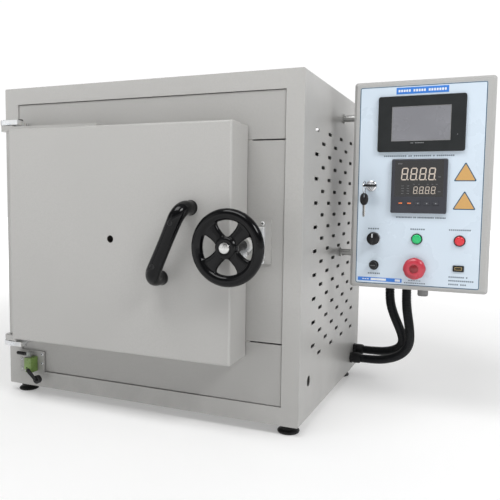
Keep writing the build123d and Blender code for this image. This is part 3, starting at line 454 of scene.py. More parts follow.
white_ink = print_ink("white_ink", (0.75, 0.78, 0.8))
amber_ink = print_ink("amber_ink", (0.6, 0.35, 0.12))
grey_ink = print_ink("grey_ink", (0.12, 0.12, 0.125))
segment_light = lit_segment("segment_light", (0.5, 0.43, 0.37), 0.3)
orange_light = lit_segment("orange_light", (0.9, 0.2, 0.03), 0.5)
pale_mark = print_ink("pale_mark", (0.3, 0.31, 0.32))


def dress(material, *names):
    """Give a CAD node its finish."""
    for name in names:
        nodes[name].data.materials.clear()
        nodes[name].data.materials.append(material)


dress(body_paint, "casing", "base_pan", "door_skin", "door_frame")
dress(body_paint, "hinge_arms", "rear_panel", "terminal_cover")
dress(fascia_paint, "fascia_panels", "keeper_plate", "switch_plate")
dress(lid_paint, "box_door", "box_shell")
dress(rod_paint, "support_rods")
dress(brick_look, "refractory_lining")
dress(blanket_look, "insulation_blanket")
dress(board_look, "door_insulation")
dress(slab_look, "hearth_plate")
dress(probe_look, "thermocouple")
dress(peephole_shade_look, "peephole_tube")
dress(galvanised, "inner_case")
dress(zinc, "hinge_brackets", "clamp_lug", "keeper_block")
dress(pin_steel, "hinge_pins", "box_hinge_pins")
dress(turned_steel, "spindle", "spindle_collar")
dress(black_oxide, "switch_lever")
dress(brass, "spindle_bush")
dress(film_look, "front_overlay")
dress(bezel_plastic, "touch_panel")
dress(screen_look, "touch_screen")
dress(controller_plastic, "temperature_controller")
dress(window_look, "controller_window")
dress(green_lens, "green_lamp")
dress(red_lens, "red_lamp")
dress(heat_sink, "power_relay")
dress(black_plastic, "switch_roller", "usb_port")
KEYS = ["controller_key_" + str(i + 1) for i in range(5)]
dress(key_rubber, *KEYS)


# ---------------------------------------------------------------- mesh helpers
def finish_piece(name, mesh, material, body, replaces=(), smooth_angle=35.0):
    """Link a mesh, shade it, and hang it on its body."""
    made = bpy.data.objects.new(name, mesh)
    bpy.context.scene.collection.objects.link(made)
    mesh.materials.append(material)
    mesh.shade_smooth()
    mesh.set_sharp_from_angle(angle=math.radians(smooth_angle))
    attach(made, body)
    if replaces:
        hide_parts(*replaces)
    return made


def piece(name, bm, material, body, slot, replaces=(), smooth_angle=35.0):
    bmesh.ops.recalc_face_normals(bm, faces=bm.faces)
    mesh = bpy.data.meshes.new(name)
    bm.to_mesh(mesh)
    bm.free()
    return finish_piece(name, mesh, material, body, replaces, smooth_angle)


def frame_of(axis):
    """Two unit vectors square to an axis."""
    helper = UP if abs(axis.dot(UP)) < 0.9 else RIGHT
    first = axis.cross(helper).normalized()
    return first, axis.cross(first).normalized()


def bridge(bm, rings, closed=False):
    """Quads between rings of equal size, capped at both ends unless the rings close."""
    pairs = list(zip(rings[:-1], rings[1:]))
    if closed:
        pairs.append((rings[-1], rings[0]))
    for low, high in pairs:
        count = len(low)
        for i in range(count):
            j = (i + 1) % count
            bm.faces.new((low[i], low[j], high[j], high[i]))
    if not closed:
        bm.faces.new(rings[0])
        bm.faces.new(rings[-1][::-1])


def lathe(bm, centre, axis, profile, sides=48, lobes=0, lobe_depth=0.0, start=0.0, closed=False):
    """Turn (radius, height) pairs in millimetres round an axis through a row-frame point."""
    first, second = frame_of(axis)
    rings = []
    for radius, height in profile:
        ring = []
        for i in range(sides):
            angle = TURN * i / sides + start
            r = max(radius, 0.02) * (1 - lobe_depth * (1 - math.cos(lobes * angle)) / 2)
            offset = first * math.cos(angle) * r + second * math.sin(angle) * r + axis * height
            ring.append(bm.verts.new(centre + offset * MM))
        rings.append(ring)
    bridge(bm, rings, closed)


def closed_lathe(bm, centre, axis, profile, sides=48):
    """Turn a closed outline, such as a washer's section, round an axis."""
    lathe(bm, centre, axis, profile, sides, closed=True)


def sweep(bm, points, radii, sides=24, closed=False):
    """A round tube along row-frame points; radii in millimetres, one for each point."""
    count = len(points)
    headings = []
    for i in range(count):
        ahead = points[(i + 1) % count] if closed or i < count - 1 else points[i]
        behind = points[i - 1] if closed or i > 0 else points[i]
        headings.append((ahead - behind).normalized())
    side = frame_of(headings[0])[0]
    rings = []
    for i in range(count):
        side = (side - headings[i] * side.dot(headings[i])).normalized()
        other = headings[i].cross(side)
        ring = []
        for k in range(sides):
            angle = TURN * k / sides
            offset = side * math.cos(angle) + other * math.sin(angle)
            ring.append(bm.verts.new(points[i] + offset * radii[i] * MM))
        rings.append(ring)
    bridge(bm, rings, closed)


def lathe_piece(name, base, axis, profile, sides, looks, replaces=(), smooth_angle=40):
    """One lathed piece; sides also holds the ribs, and looks the material, body and slot."""
    bm = bmesh.new()
    lathe(bm, base, axis, profile, *sides)
    return piece(name, bm, *looks, replaces, smooth_angle)


def block(bm, low, high, bevel=0.0, segments=2):
    """A block between two casing corners in millimetres, with rounded edges."""
    made = bmesh.ops.create_cube(bm, size=1.0)
    corners = made["verts"]
    centre = (Vector(low) + Vector(high)) / 2
    size = Vector(high) - Vector(low)
    for v in corners:
        v.co = at(*(centre + Vector([v.co[i] * size[i] for i in range(3)])))
    if bevel:
        edges = list({e for v in corners for e in v.link_edges})
        bmesh.ops.bevel(bm, geom=edges, offset=bevel * MM, segments=segments, affect="EDGES", profile=0.6)


def prism(bm, outline, y, thick):
    """A flat shape facing the user: casing (x, z) outline, from depth y towards the user."""
    back = [bm.verts.new(at(x, y, z)) for x, z in outline]
    front = [bm.verts.new(at(x, y - thick, z)) for x, z in outline]
    count = len(outline)
    for i in range(count):
        j = (i + 1) % count
        bm.faces.new((back[i], back[j], front[j], front[i]))
    bm.faces.new(front)
    bm.faces.new(back[::-1])


def rounded_rect(x0, x1, z0, z1, r, steps=6):
    """Outline of a rounded rectangle, anticlockwise."""
    corners = ((x1 - r, z1 - r, 0), (x0 + r, z1 - r, 90), (x0 + r, z0 + r, 180), (x1 - r, z0 + r, 270))
    outline = []
    for cx, cz, start in corners:
        for i in range(steps + 1):
            angle = math.radians(start + 90 * i / steps)
            outline.append((cx + r * math.cos(angle), cz + r * math.sin(angle)))
    return outline


def ring_prism(bm, outer, inner, y, thick):
    """A flat ring between two outlines with equal point counts."""
    rings = []
    for outline, depth in ((outer, y), (outer, y - thick), (inner, y - thick), (inner, y)):
        rings.append([bm.verts.new(at(x, depth, z)) for x, z in outline])
    bridge(bm, rings, closed=True)


def hexagon(bm, centre, axis, across, height, chamfer=0.6, start=0.0):
    """A chamfered hexagon head or nut standing on a point."""
    radius = across / math.sqrt(3)
    levels = ((radius, 0), (radius, height - chamfer), (radius - 1.4 * chamfer, height))
    lathe(bm, centre, axis, levels, 6, start=start)


def pan_screw(bm, centre, axis, r, height):
    """A pan head with a shallow round dip in its top; its cross recess is not cut but painted, as dark bars
    laid on the head.
    """
    dome = [(r, 0), (r, 0.35 * height), (0.86 * r, 0.78 * height), (0.6 * r, height)]
    lathe(bm, centre, axis, dome + [(0.42 * r, height), (0.3 * r, 0.55 * height), (0.02, 0.5 * height)], 24)


def painted_shade_cross(bm, centre, axis, r, height):
    """Two dark bars that cross on a screw head, standing a hair proud of it: painted shade in place of a
    cross recess.
    """
    first, second = frame_of(axis)
    for along, across in ((first, second), (second, first)):
        corners = []
        for a, b in ((-1, -1), (1, -1), (1, 1), (-1, 1)):
            corners.append(along * a * 0.55 * r + across * b * 0.13 * r)
        low = [bm.verts.new(centre + (c + axis * height * 0.6) * MM) for c in corners]
        high = [bm.verts.new(centre + (c + axis * (height + 0.04)) * MM) for c in corners]
        bridge(bm, [low, high])


def screws(name, places, axis, r, height, body, slot, material=zinc):
    """A set of cross-head screws on one face, and dark crosses on them that paint the shade of their
    recesses.
    """
    heads = bmesh.new()
    shade_crosses = bmesh.new()
    for place in places:
        pan_screw(heads, at(*place), axis, r, height)
        # the dark crosses are painted shade, not recesses cut in the heads
        painted_shade_cross(shade_crosses, at(*place), axis, r, height)
    piece(name, heads, material, body, slot)
    piece(name + "_slots", shade_crosses, black_oxide, body, slot, smooth_angle=10)


# ---------------------------------------------------------------- camera and light
WORLD_FRONT = 0.1
WORLD_TOP = 0.3
WORLD_LOW = 0.8
KEY_W = 52
TOP_W = 29
LEFT_W = 5
CAMERA_AT = (617.08, -952.38, 389.21)
CAMERA_LENS = 42.77
CAMERA_YAW = 22.33
CAMERA_PITCH = 4.68
CAMERA_ROLL = 0.8


def aim_camera():
    yaw, pitch, roll = (math.radians(angle) for angle in (CAMERA_YAW, CAMERA_PITCH, CAMERA_ROLL))
    ahead = Vector((-math.sin(yaw) * math.cos(pitch), math.cos(yaw) * math.cos(pitch), -math.sin(pitch)))
    level = Vector((math.cos(yaw), math.sin(yaw), 0))
    above = level.cross(ahead)
    right = level * math.cos(roll) + above * math.sin(roll)
    top = above * math.cos(roll) - level * math.sin(roll)
    data = bpy.data.cameras.new("camera")
    data.sensor_width = 36
    data.lens = CAMERA_LENS
    data.clip_start = 0.01
    camera = bpy.data.objects.new("camera", data)
    bpy.context.scene.collection.objects.link(camera)
    turn = Matrix((right, top, -ahead)).transposed()
    camera.matrix_world = Matrix.Translation(at(*CAMERA_AT)) @ turn.to_4x4()
    bpy.context.scene.camera = camera


def area_light(name, place, target, size, watts):
    data = bpy.data.lights.new(name, "AREA")
    data.shape = "RECTANGLE"
    data.size, data.size_y = size
    data.energy = watts
    lamp = bpy.data.objects.new(name, data)
    bpy.context.scene.collection.objects.link(lamp)
    lamp.location = place
    lamp.rotation_euler = (Vector(target) - Vector(place)).to_track_quat("-Z", "Y").to_euler()


def light_studio():
    """Dim in front, so that black parts stay black, and bright above, behind and at the horizon."""
    world = bpy.data.worlds.new("studio")
    world.use_nodes = True
    tree = world.node_tree
    sky = tree.nodes["Background"]
    sky.inputs["Color"].default_value = (1, 1, 1, 1)
    split = tree.nodes.new("ShaderNodeSeparateXYZ")
    toward = tree.nodes.new("ShaderNodeTexCoord")
    tree.links.new(toward.outputs["Generated"], split.inputs[0])
    shades = []
    behind = ("Y", 0.42, 0.68, WORLD_FRONT, 1.02)
    above = ("Z", 0.25, 0.8, 0.0, WORLD_TOP)
    horizon = ("Z", 0.26, 0.14, 0.0, WORLD_LOW)
    for axis, low, high, dim, bright in (behind, above, horizon):
        shade = tree.nodes.new("ShaderNodeMapRange")
        for name, number in zip(("From Min", "From Max", "To Min", "To Max"), (low, high, dim, bright)):
            shade.inputs[name].default_value = number
        tree.links.new(split.outputs[axis], shade.inputs["Value"])
        shades.append(shade.outputs["Result"])
    strength = shades[0]
    for shade in shades[1:]:
        brightest = tree.nodes.new("ShaderNodeMath")
        brightest.operation = "MAXIMUM"
        tree.links.new(strength, brightest.inputs[0])
        tree.links.new(shade, brightest.inputs[1])
        strength = brightest.outputs[0]
    tree.links.new(strength, sky.inputs["Strength"])
    bpy.context.scene.world = world
    bpy.context.scene.view_settings.view_transform = "Standard"
    centre = (0, 0, 0.3)
    area_light("key", (2.5, -1.4, 2.5), (0.1, -0.1, 0.4), (1.2, 1.0), KEY_W)
    area_light("top", (-0.2, -1.2, 2.35), centre, (1.6, 0.9), TOP_W)
    area_light("left", (-2.2, -2.6, 1.3), centre, (1.2, 1.6), LEFT_W)


def lay_floor():
    """A pale floor that brightens with distance from the object."""
    bm = bmesh.new()
    bmesh.ops.create_grid(bm, x_segments=2, y_segments=2, size=9.0)
    mesh = bpy.data.meshes.new("floor")
    bm.to_mesh(mesh)
    bm.free()
    floor = bpy.data.objects.new("floor", mesh)
    bpy.context.scene.collection.objects.link(floor)
    matt = Look("floor_look", (0.76, 0.76, 0.76), 0.7)
    matt.shader.inputs["Emission Color"].default_value = (1, 1, 1, 1)
    reach = matt.node("ShaderNodeVectorMath")
    reach.operation = "LENGTH"
    matt.feed(reach.inputs[0], matt.place)
    brighter = matt.spread(reach.outputs["Value"], 0.7, 3.2, 0.24, 1.0)
    matt.feed(matt.shader.inputs["Emission Strength"], brighter)
    matt.mottle(2.0, 0.02)
    mesh.materials.append(matt.material)
    floor.location.z = cad_box[0][2] - 0.0002


# ---------------------------------------------------------------- conduits
CONDUIT_D = 19.5
FRONT_ROUTE = [
    (344, 396, 31),
    (368, 396, 31),
    (392, 391, 34),
    (415, 382, 42),
    (435, 369, 54),
    (451, 353, 71),
    (460, 336, 92),
    (462, 320, 115),
    (461, 307, 139),
    (458, 297, 164),
    (456, 291, 190),
    (456, 291, 218),
]
REAR_ROUTE = [
    (344, 428, 44),
    (370, 428, 44),
    (395, 422, 47),
    (417, 411, 55),
    (433, 394, 68),
    (441, 374, 86),
    (440, 355, 107),
    (434, 339, 129),
    (427, 326, 151),
    (421, 316, 174),
    (419, 311, 197),
    (419, 311, 218),
]


def smooth_line(route):
    """Row-frame points of the NURBS curve that a route controls."""
    data = bpy.data.curves.new("route", "CURVE")
    data.dimensions = "3D"
    data.resolution_u = 24
    spline = data.splines.new("NURBS")
    spline.points.add(len(route) - 1)
    for point, place in zip(spline.points, route):
        point.co = (*at(*place), 1)
    spline.order_u = 3
    spline.use_endpoint_u = True
    holder = bpy.data.objects.new("route", data)
    bpy.context.scene.collection.objects.link(holder)
    bpy.context.view_layer.update()
    line = bpy.data.meshes.new_from_object(holder)
    points = [v.co.copy() for v in line.vertices]
    bpy.data.objects.remove(holder)
    bpy.data.curves.remove(data)
    bpy.data.meshes.remove(line)
    return points


def resample(points, step):
    """Points at even spacing along a line, and the line's length in metres."""
    gaps = [(b - a).length for a, b in zip(points[:-1], points[1:])]
    total = sum(gaps)
    count = max(2, round(total / step))
    even = []
    walked, i = 0.0, 0
    for k in range(count + 1):
        target = total * k / count
        while i < len(gaps) - 1 and walked + gaps[i] < target:
            walked += gaps[i]
            i += 1
        even.append(points[i].lerp(points[i + 1], min(1, (target - walked) / max(gaps[i], 1e-9))))
    return even, total


def lay_conduit(name, route):
    """A corrugated conduit from the casing's gland up to the control box's."""
    steps_per_rib = 6
    rib_pitch = 3.3
    rib_depth = 1.15
    points, total = resample(smooth_line(route), rib_pitch / steps_per_rib * MM)
    radii = []
    for i in range(len(points)):
        phase = math.cos(TURN * i / steps_per_rib)
        crest = max(-1, min(1, 1.6 * phase))
        radii.append(CONDUIT_D / 2 - rib_depth * (1 - crest) / 2)
    bm = bmesh.new()
    sweep(bm, points, radii, 28)
    made = piece(name, bm, conduit_plastic, "cabinet", "conduit_plastic", (name,), 60)
    path = [tuple(p) for p in points[::steps_per_rib // 2]]
    if path[-1] != tuple(points[-1]):
        path.append(tuple(points[-1]))


# ---------------------------------------------------------------- glands and feet
def gland(nut, cap, wall, axis, reach, flange):
    """A hexagon nut with a ribbed dome nut that grips the conduit."""
    hexagon(nut, wall, axis, flange * 1.66, 6.5, 0.9)
    lathe(nut, wall + axis * 6.5 * MM, axis, [(10.8, 0), (10.8, reach - 15)], 40)
    start = wall + axis * 8.0 * MM
    length = reach - 8.0
    dome = [(11.9, 0), (12.0, 0.6), (12.0, length - 5), (11.4, length - 2)]
    dome += [(10.3, length - 0.4), (9.9, length - 0.1)]
    lathe(cap, start, axis, dome, 72, 18, 0.045)


def make_glands():
    nut, cap = bmesh.new(), bmesh.new()
    casing_side = span("casing")[1].x
    box_base = span("box_shell")[0].z
    for route in (FRONT_ROUTE, REAR_ROUTE):
        gland(nut, cap, at(casing_side, route[0][1], route[0][2]), RIGHT, 23.8, 13.5)
        gland(nut, cap, at(route[-1][0], route[-1][1], box_base), -UP, 19.8, 13.5)
    piece("gland_nuts", nut, gland_plastic, "cabinet", "gland_plastic", ("cable_glands",), 25)
    piece("gland_caps", cap, gland_plastic, "cabinet", "gland_plastic", (), 50)
    plug = [(10.9, 0), (10.9, 6), (9.8, 7.2), (9.8, 20.6), (8.8, 22.7), (5, 22.7), (4.4, 21), (0.02, 21)]
    looks = (grey_plastic, "cabinet", "gland_plastic")
    plug_x, plug_y = 497, 205
    lathe_piece("box_plug", at(plug_x, plug_y, box_base), -UP, plug, (48,), looks)


def make_feet():
    """Turned feet with a ribbed grip and a jam nut under the base."""
    low, high = span("levelling_feet")
    inset = 20
    rubber, nut = bmesh.new(), bmesh.new()
    profile = [(0.02, 0.0), (17.5, 0.0), (19.2, 0.7), (19.9, 2.2), (19.9, 3.6), (19.0, 4.9)]
    profile += [(16.8, 6.0), (15.0, 7.2), (14.4, 8.6), (14.3, 12.2), (13.6, 13.4), (0.02, 13.6)]
    for x in (low.x + inset, high.x - inset):
        for y in (low.y + inset, high.y - inset):
            base = at(x, y, low.z)
            lathe(rubber, base, UP, profile, 96, 24, 0.02)
            hexagon(nut, base + UP * 13.6 * MM, UP, 13, 4.3, 0.6)
            lathe(nut, base + UP * 17.9 * MM, UP, [(4, 0), (4, 14), (3.2, 15.4), (0.02, 15.5)], 24)
    piece("feet", rubber, foot_rubber, "cabinet", "black_rubber", ("levelling_feet",), 40)
    piece("feet_nuts", nut, zinc, "cabinet", "zinc", (), 25)


# ---------------------------------------------------------------- door furniture
HANDLE_LOW = Vector((91.5, -72, 256.2))
HANDLE_HIGH = Vector((147.2, -72, 377.3))
HUB = at(231, -107, 316)
# distance from the hub and half width of a spoke, as it flares into the rim
SPOKE = ((4, 12), (16, 10.8), (24, 10.6), (31, 11.2), (37, 12.8), (41, 15.0), (44, 18.5), (46, 21.0))


def arc_corner(corner, before, after, r, steps=14):
    """Points of a quarter bend that rounds a square corner between two directions."""
    centre = corner + (before + after) * r
    angles = [math.radians(90 * i / steps) for i in range(steps + 1)]
    return [centre - after * r * math.cos(angle) - before * r * math.sin(angle) for angle in angles]


def make_handle():
    """A bow handle moulded in one piece, fuller at the shoulders than along the grip."""
    reach, bend = 37.0, 22.0
    along = (HANDLE_HIGH - HANDLE_LOW).normalized()
    low_out = HANDLE_LOW + TOWARDS * reach
    high_out = HANDLE_HIGH + TOWARDS * reach
    route = [HANDLE_LOW, HANDLE_LOW + TOWARDS * 4, HANDLE_LOW + TOWARDS * 9]
    route += arc_corner(low_out, BEHIND, along, bend)
    grip = (high_out - low_out).length - 2 * bend
    grip_steps = 22
    for i in range(1, grip_steps):
        route.append(low_out + along * (bend + grip * i / grip_steps))
    route += arc_corner(high_out, -along, BEHIND, bend)
    route += [HANDLE_HIGH + TOWARDS * 9, HANDLE_HIGH + TOWARDS * 4, HANDLE_HIGH]
    total = len(route) - 1
    radii = []
    for i in range(len(route)):
        swells = [math.exp(-(((i / total - share) / 0.13) ** 2)) for share in (0.24, 0.76)]
        radii.append(12.0 + 0.9 * sum(swells))
    radii[0] = radii[-1] = 12.9
    bm = bmesh.new()
    sweep(bm, [at(*p) for p in route], radii, 40)
    piece("handle", bm, black_gloss, "door", "black_gloss", ("door_handle",), 50)
    caps = bmesh.new()
    cap = [(4.6, 0), (4.6, 0.9), (3.9, 1.3), (3.4, 1.0), (0.02, 1.0)]
    for place, sign in ((low_out, 1), (high_out, -1)):
        spot = place + along * sign * 27
        lathe(caps, at(*(spot + TOWARDS * 11.4)), TOWARDS, cap, 28)
    piece("handle_caps", caps, black_plastic, "door", "black_gloss", (), 40)
    bases = bmesh.new()
    washer = [(12.4, 0), (13.0, 0), (13.0, 1.2), (12.6, 1.7), (12.4, 1.7)]
    for foot in (HANDLE_LOW, HANDLE_HIGH):
        closed_lathe(bases, at(*foot), TOWARDS, washer, 48)
    piece("handle_gaskets", bases, foot_rubber, "door", "black_gloss", (), 40)


def make_handwheel():
    """A cast handwheel: oval rim, four spokes that flare into it, and a raised hub."""
    rim_r = 53.0
    casting = bmesh.new()
    section_sides = 28
    rim = []
    for i in range(128):
        angle = TURN * i / 128
        out = RIGHT * math.cos(angle) + UP * math.sin(angle)
        ring = []
        for k in range(section_sides):
            turn = TURN * k / section_sides
            offset = out * (rim_r + 9.4 * math.cos(turn)) + TOWARDS * 9.2 * math.sin(turn)
            ring.append(casting.verts.new(HUB + offset * MM))
        rim.append(ring)
    bridge(casting, rim, closed=True)
    for i in range(4):
        angle = math.radians(45 + 90 * i)
        out = RIGHT * math.cos(angle) + UP * math.sin(angle)
        across = TOWARDS.cross(out)
        rings = []
        for reach, half_w in SPOKE:
            ring = []
            for k in range(24):
                turn = TURN * k / 24
                wide = math.copysign(abs(math.cos(turn)) ** 0.5, math.cos(turn))
                thick = math.copysign(abs(math.sin(turn)) ** 0.7, math.sin(turn))
                offset = out * reach + across * half_w * wide + TOWARDS * 5.4 * thick
                ring.append(casting.verts.new(HUB + offset * MM))
            rings.append(ring)
        bridge(casting, rings)
    lathe(casting, HUB, TOWARDS, [(15.2, -8.5), (17.6, -6.5), (18.2, 0), (17.6, 6.0), (16.8, 8.2)], 48)
    mesh = bpy.data.meshes.new("handwheel_casting")
    bmesh.ops.recalc_face_normals(casting, faces=casting.faces)
    casting.to_mesh(mesh)
    casting.free()
    blob = bpy.data.objects.new("handwheel_blob", mesh)
    bpy.context.scene.collection.objects.link(blob)
    remesh = blob.modifiers.new("one_casting", "REMESH")
    remesh.mode = "VOXEL"
    remesh.voxel_size = 0.0011
    soften = blob.modifiers.new("soften", "SMOOTH")
    soften.factor = 0.6
    soften.iterations = 9
    bpy.context.view_layer.update()
    solid = bpy.data.meshes.new_from_object(blob.evaluated_get(bpy.context.evaluated_depsgraph_get()))
    bpy.data.objects.remove(blob)
    finish_piece("wheel_casting", solid, black_gloss, "wheel", ("handwheel",), 80)
    collar = bmesh.new()
    front = [(8.2, 7.4), (16.8, 7.4), (16.8, 9.4), (15.6, 10.6), (12.6, 10.9), (10.2, 10.4), (8.2, 10.4)]
    closed_lathe(collar, HUB, TOWARDS, front, 56)
    neck = [(8.9, 8.5), (11.9, 8.5), (11.9, 30.4), (11.0, 31.2), (9.0, 31.4)]
    neck += [(8.9, 60.4), (6.2, 60.6), (6.1, 8.5)]
    closed_lathe(collar, HUB, BEHIND, neck, 48)
    piece("wheel_hub", collar, black_gloss, "wheel", "black_gloss", (), 40)


def make_spindle():
    """The bright spindle with a domed end that shows in the hub."""
    profile = [(0.02, 13.9), (6.4, 13.7), (8.2, 13.0), (8.8, 12.2), (8.8, 11.1), (6.0, 11.1), (6.0, -93)]
    profile += [(5.0, -93.6), (5.0, -107.2), (4.2, -108.1), (0.02, -108.1)]
    looks = (turned_steel, "wheel", "pin_steel")
    lathe_piece("spindle_turned", HUB, TOWARDS, profile, (48,), looks, ("spindle",), 30)


def make_clamp_details():
    """Screws of the keeper plate, and two small hexagon heads on the lug."""
    plate_face = span("keeper_plate")[0].y
    corners = ((249, 351.6), (249, 285.2), (201.5, 351.6), (201.5, 287))
    places = [(x, plate_face, z) for x, z in corners]
    screws("keeper_screws", places, TOWARDS, 3.9, 1.9, "cabinet", "zinc")
    lug = span("clamp_lug")[0]
    heads = bmesh.new()
    for dz in (-18.5, 18.5):
        hexagon(heads, at(lug.x + 5.2, lug.y, 316 + dz), TOWARDS, 6, 2.2, 0.4)
    piece("lug_bolts", heads, zinc, "door", "zinc", (), 25)


def make_hinge_bolts():
    """Black hexagon bolts through each hinge plate, heads outward."""
    low, high = span("hinge_bolts")
    heads, washers = bmesh.new(), bmesh.new()
    head_h = 5
    washer = [(2.6, 0), (4.3, 0), (4.3, 0.5), (4.1, 0.7), (2.6, 0.7)]
    for x, y in ((-281, -26), (-254, -29)):
        for z, axis in ((low.z + head_h, -UP), (high.z - head_h, UP)):
            closed_lathe(washers, at(x, y, z), axis, washer, 32)
            hexagon(heads, at(x, y, z) + axis * 0.7 * MM, axis, 8, 4.2, 0.5, 0.3)
    piece("hinge_bolt_heads", heads, black_oxide, "cabinet", "black_steel", ("hinge_bolts",), 25)
    piece("hinge_washers", washers, zinc, "cabinet", "zinc", (), 40)


def make_switch():
    """The door switch: enamelled body, cover plate, boot, cable stub and screws."""
    bm = bmesh.new()
    prism(bm, [(-263, 38.2), (-258, 33.2), (-245, 33.2), (-245, 63.9), (-263, 63.9)], -1.5, 20.4)
    bmesh.ops.bevel(bm, geom=bm.edges[:], offset=1.1 * MM, segments=3, affect="EDGES", profile=0.5)
    piece("switch_case", bm, green_enamel, "cabinet", "switch_green", ("switch_body",), 40)
    cover = bmesh.new()
    block(cover, (-261.8, -22.0, 41.5), (-246.2, -21.4, 62.2), 0.25, 2)
    piece("switch_cover", cover, green_enamel, "cabinet", "switch_green", (), 40)
    boot = [(4.9, 0), (4.9, 3.2), (4.3, 4.2), (4.7, 5.2), (4.3, 6.2)]
    boot += [(4.7, 7.6), (4.2, 9.8), (2.4, 11.0), (0.02, 11.1)]
    looks = (boot_rubber, "cabinet", "roller_plastic")
    lathe_piece("switch_boot", at(-259, -12, 63.8), UP, boot, (32,), looks, (), 50)
    stub = [(3.7, 0), (3.7, 9), (3.2, 9.6), (3.7, 10.2), (3.7, 28), (3.0, 29.8), (0.02, 29.9)]
    looks = (black_plastic, "cabinet", "black_plastic")
    lathe_piece("switch_stub", at(-259, -12, 69), -RIGHT, stub, (28,), looks, (), 50)
    face = -22.0
    places = [(-259, face, 38.3), (-247.3, face, 35.6)]
    screws("switch_cover_screws", places, TOWARDS, 1.7, 0.9, "cabinet", "zinc")
    plate_face = span("switch_plate")[0].y
    places = [(x, plate_face, z) for x, z in ((-287, 54), (-287, 34), (-234, 69), (-234, 50))]
    screws("switch_plate_screws", places, TOWARDS, 2.9, 1.4, "cabinet", "zinc")
    hubs = bmesh.new()
    lathe(hubs, at(-251, -24, 38), TOWARDS, [(2.4, 0), (2.4, 0.5), (1.9, 0.9), (0.02, 0.9)], 24)
    lathe(hubs, at(-232, -24, 21), TOWARDS, [(2.2, 0), (2.2, 0.6), (1.6, 1.0), (0.02, 1.0)], 24)
    plug = [(1.5, -0.3), (1.5, 0.6), (1.3, 0.7), (0.02, 0.7)]
    looks = (black_oxide, "cabinet", "black_steel")
    lathe_piece("switch_plug", at(-255.6, face, 43.2), TOWARDS, plug, (24,), looks)
    piece("lever_rivets", hubs, black_oxide, "lever", "pin_steel", (), 40)


def make_gasket():
    """Braided rope: a square run of tube with a plaited surface."""
    low, high = span("door_gasket")
    inset = 5
    radius = (high.y - low.y) / 2 - 0.05
    depth = (low.y + high.y) / 2
    corner = 12
    outline = rounded_rect(low.x + inset, high.x - inset, low.z + inset, high.z - inset, corner, 8)
    closed = [at(x, depth, z) for x, z in outline]
    closed.append(closed[0])
    line = resample(closed, 0.0022)[0][:-1]
    bm = bmesh.new()
    sides = 20
    count = len(line)
    rings = []
    side = BEHIND
    for i, point in enumerate(line):
        heading = (line[(i + 1) % count] - line[i - 1]).normalized()
        other = heading.cross(side)
        ring = []
        for k in range(sides):
            turn = TURN * k / sides
            plait = 0.12 * math.sin(5 * turn + i * 0.9) * math.sin(5 * turn - i * 0.9)
            wide = 1.0 + plait * 0.5
            offset = side * math.cos(turn) * radius * (0.94 + 0.06 * plait)
            offset += other * math.sin(turn) * 4.6 * wide
            ring.append(bm.verts.new(point + offset * MM))
        rings.append(ring)
    bridge(bm, rings, closed=True)
    piece("gasket_rope", bm, rope_look, "door", "gasket_fibre", ("door_gasket",), 60)


def make_elements():
    """Wound heating wire along each groove, with straight links and tails."""
    low, high = span("heating_elements")
    coil_r, wire_r, pitch = 4.7, 1.05, 5.4
    front, back = 40.0, 306.0
    bm = bmesh.new()
    for x in (low.x + 6, high.x - 6):
        inward = 1 if x < (low.x + high.x) / 2 else -1
        heights = [318 + 52 * (i - 2) for i in range(5)]
        for z in heights:
            turns = int((back - front) / pitch)
            steps = 11
            line = []
            for k in range(turns * steps + 1):
                angle = TURN * k / steps
                across, up = coil_r * math.cos(angle), coil_r * math.sin(angle)
                line.append(at(x + across, front + pitch * k / steps, z + up))
            sweep(bm, line, [wire_r] * len(line), 6)
        for i in range(4):
            y = front + 1 if i % 2 == 1 else back - 1
            link_x = x + inward * (coil_r - 0.6)
            sweep(bm, [at(link_x, y, heights[i]), at(link_x, y, heights[i + 1])], [1.5, 1.5], 8)
        for z in (heights[0], heights[-1]):
            sweep(bm, [at(x, back, z), at(x, high.y - 0.2, z)], [3.6, 3.6], 16)
    piece("element_coils", bm, element_look, "cabinet", "element_alloy", ("heating_elements",), 60)


# ---------------------------------------------------------------- sheet metal details
def make_casing_details():
    """Screws round the rear panel and its cover."""
    high = span("casing")[1]
    panel_back = span("rear_panel")[1].y
    across = [-306, -153, 0, 153, 306]
    up_side = [120, 240, 360, 480]
    places = [(x, panel_back, z) for x in across for z in (12, high.z - 12)]
    places += [(x, panel_back, z) for x in (-306, 306) for z in up_side]
    screws("rear_screws", places, BEHIND, 4.0, 1.9, "cabinet", "zinc")
    low, high = span("terminal_cover")
    face = high.y - 2.0
    places = [(x, face, z) for x in (low.x + 12, high.x - 12) for z in (low.z + 12, high.z - 12)]
    screws("cover_screws", places, BEHIND, 3.6, 1.9, "cabinet", "zinc")


def make_door_details():
    """Rivet heads on the long hinge strap, and the screws on the door's back."""
    rivets = bmesh.new()
    strap_top = span("hinge_arms")[1].z - 2.5
    for x in (-225, -165, -105):
        lathe(rivets, at(x, -41, strap_top), UP, [(4, 0), (3.7, 0.6), (2.6, 1.2), (0.02, 1.5)], 28)
    piece("arm_rivets", rivets, body_paint, "door", "body_paint", (), 50)
    places = [(x, -1.0, z) for x in (-215, -14, 190) for z in (132, 503)]
    screws("door_back_screws", places, BEHIND, 3.6, 1.6, "door", "zinc")


# ---------------------------------------------------------------- control box front
lid_low = span("box_door")[0]
film_low, film_high = span("front_overlay")
FILM_FACE = film_low.y
INK = 0.08
# places on the box front, from its lower left corner
LOCK_AT = (36.4, 187.6)
SELECTOR_AT = (43.6, 91.2)
FUSE_AT = (45.1, 42.3)
STOP_AT = (119.1, 40.5)
# a warning triangle's middle, base, apex and half width
TRIANGLES = ((197.9, 196.0, 229.6, 19.4), (197.8, 146.6, 179.8, 19.6))


def on_lid(a, b):
    """Casing x and z of a place on the box front, from its lower left corner."""
    return lid_low.x + a, lid_low.z + b


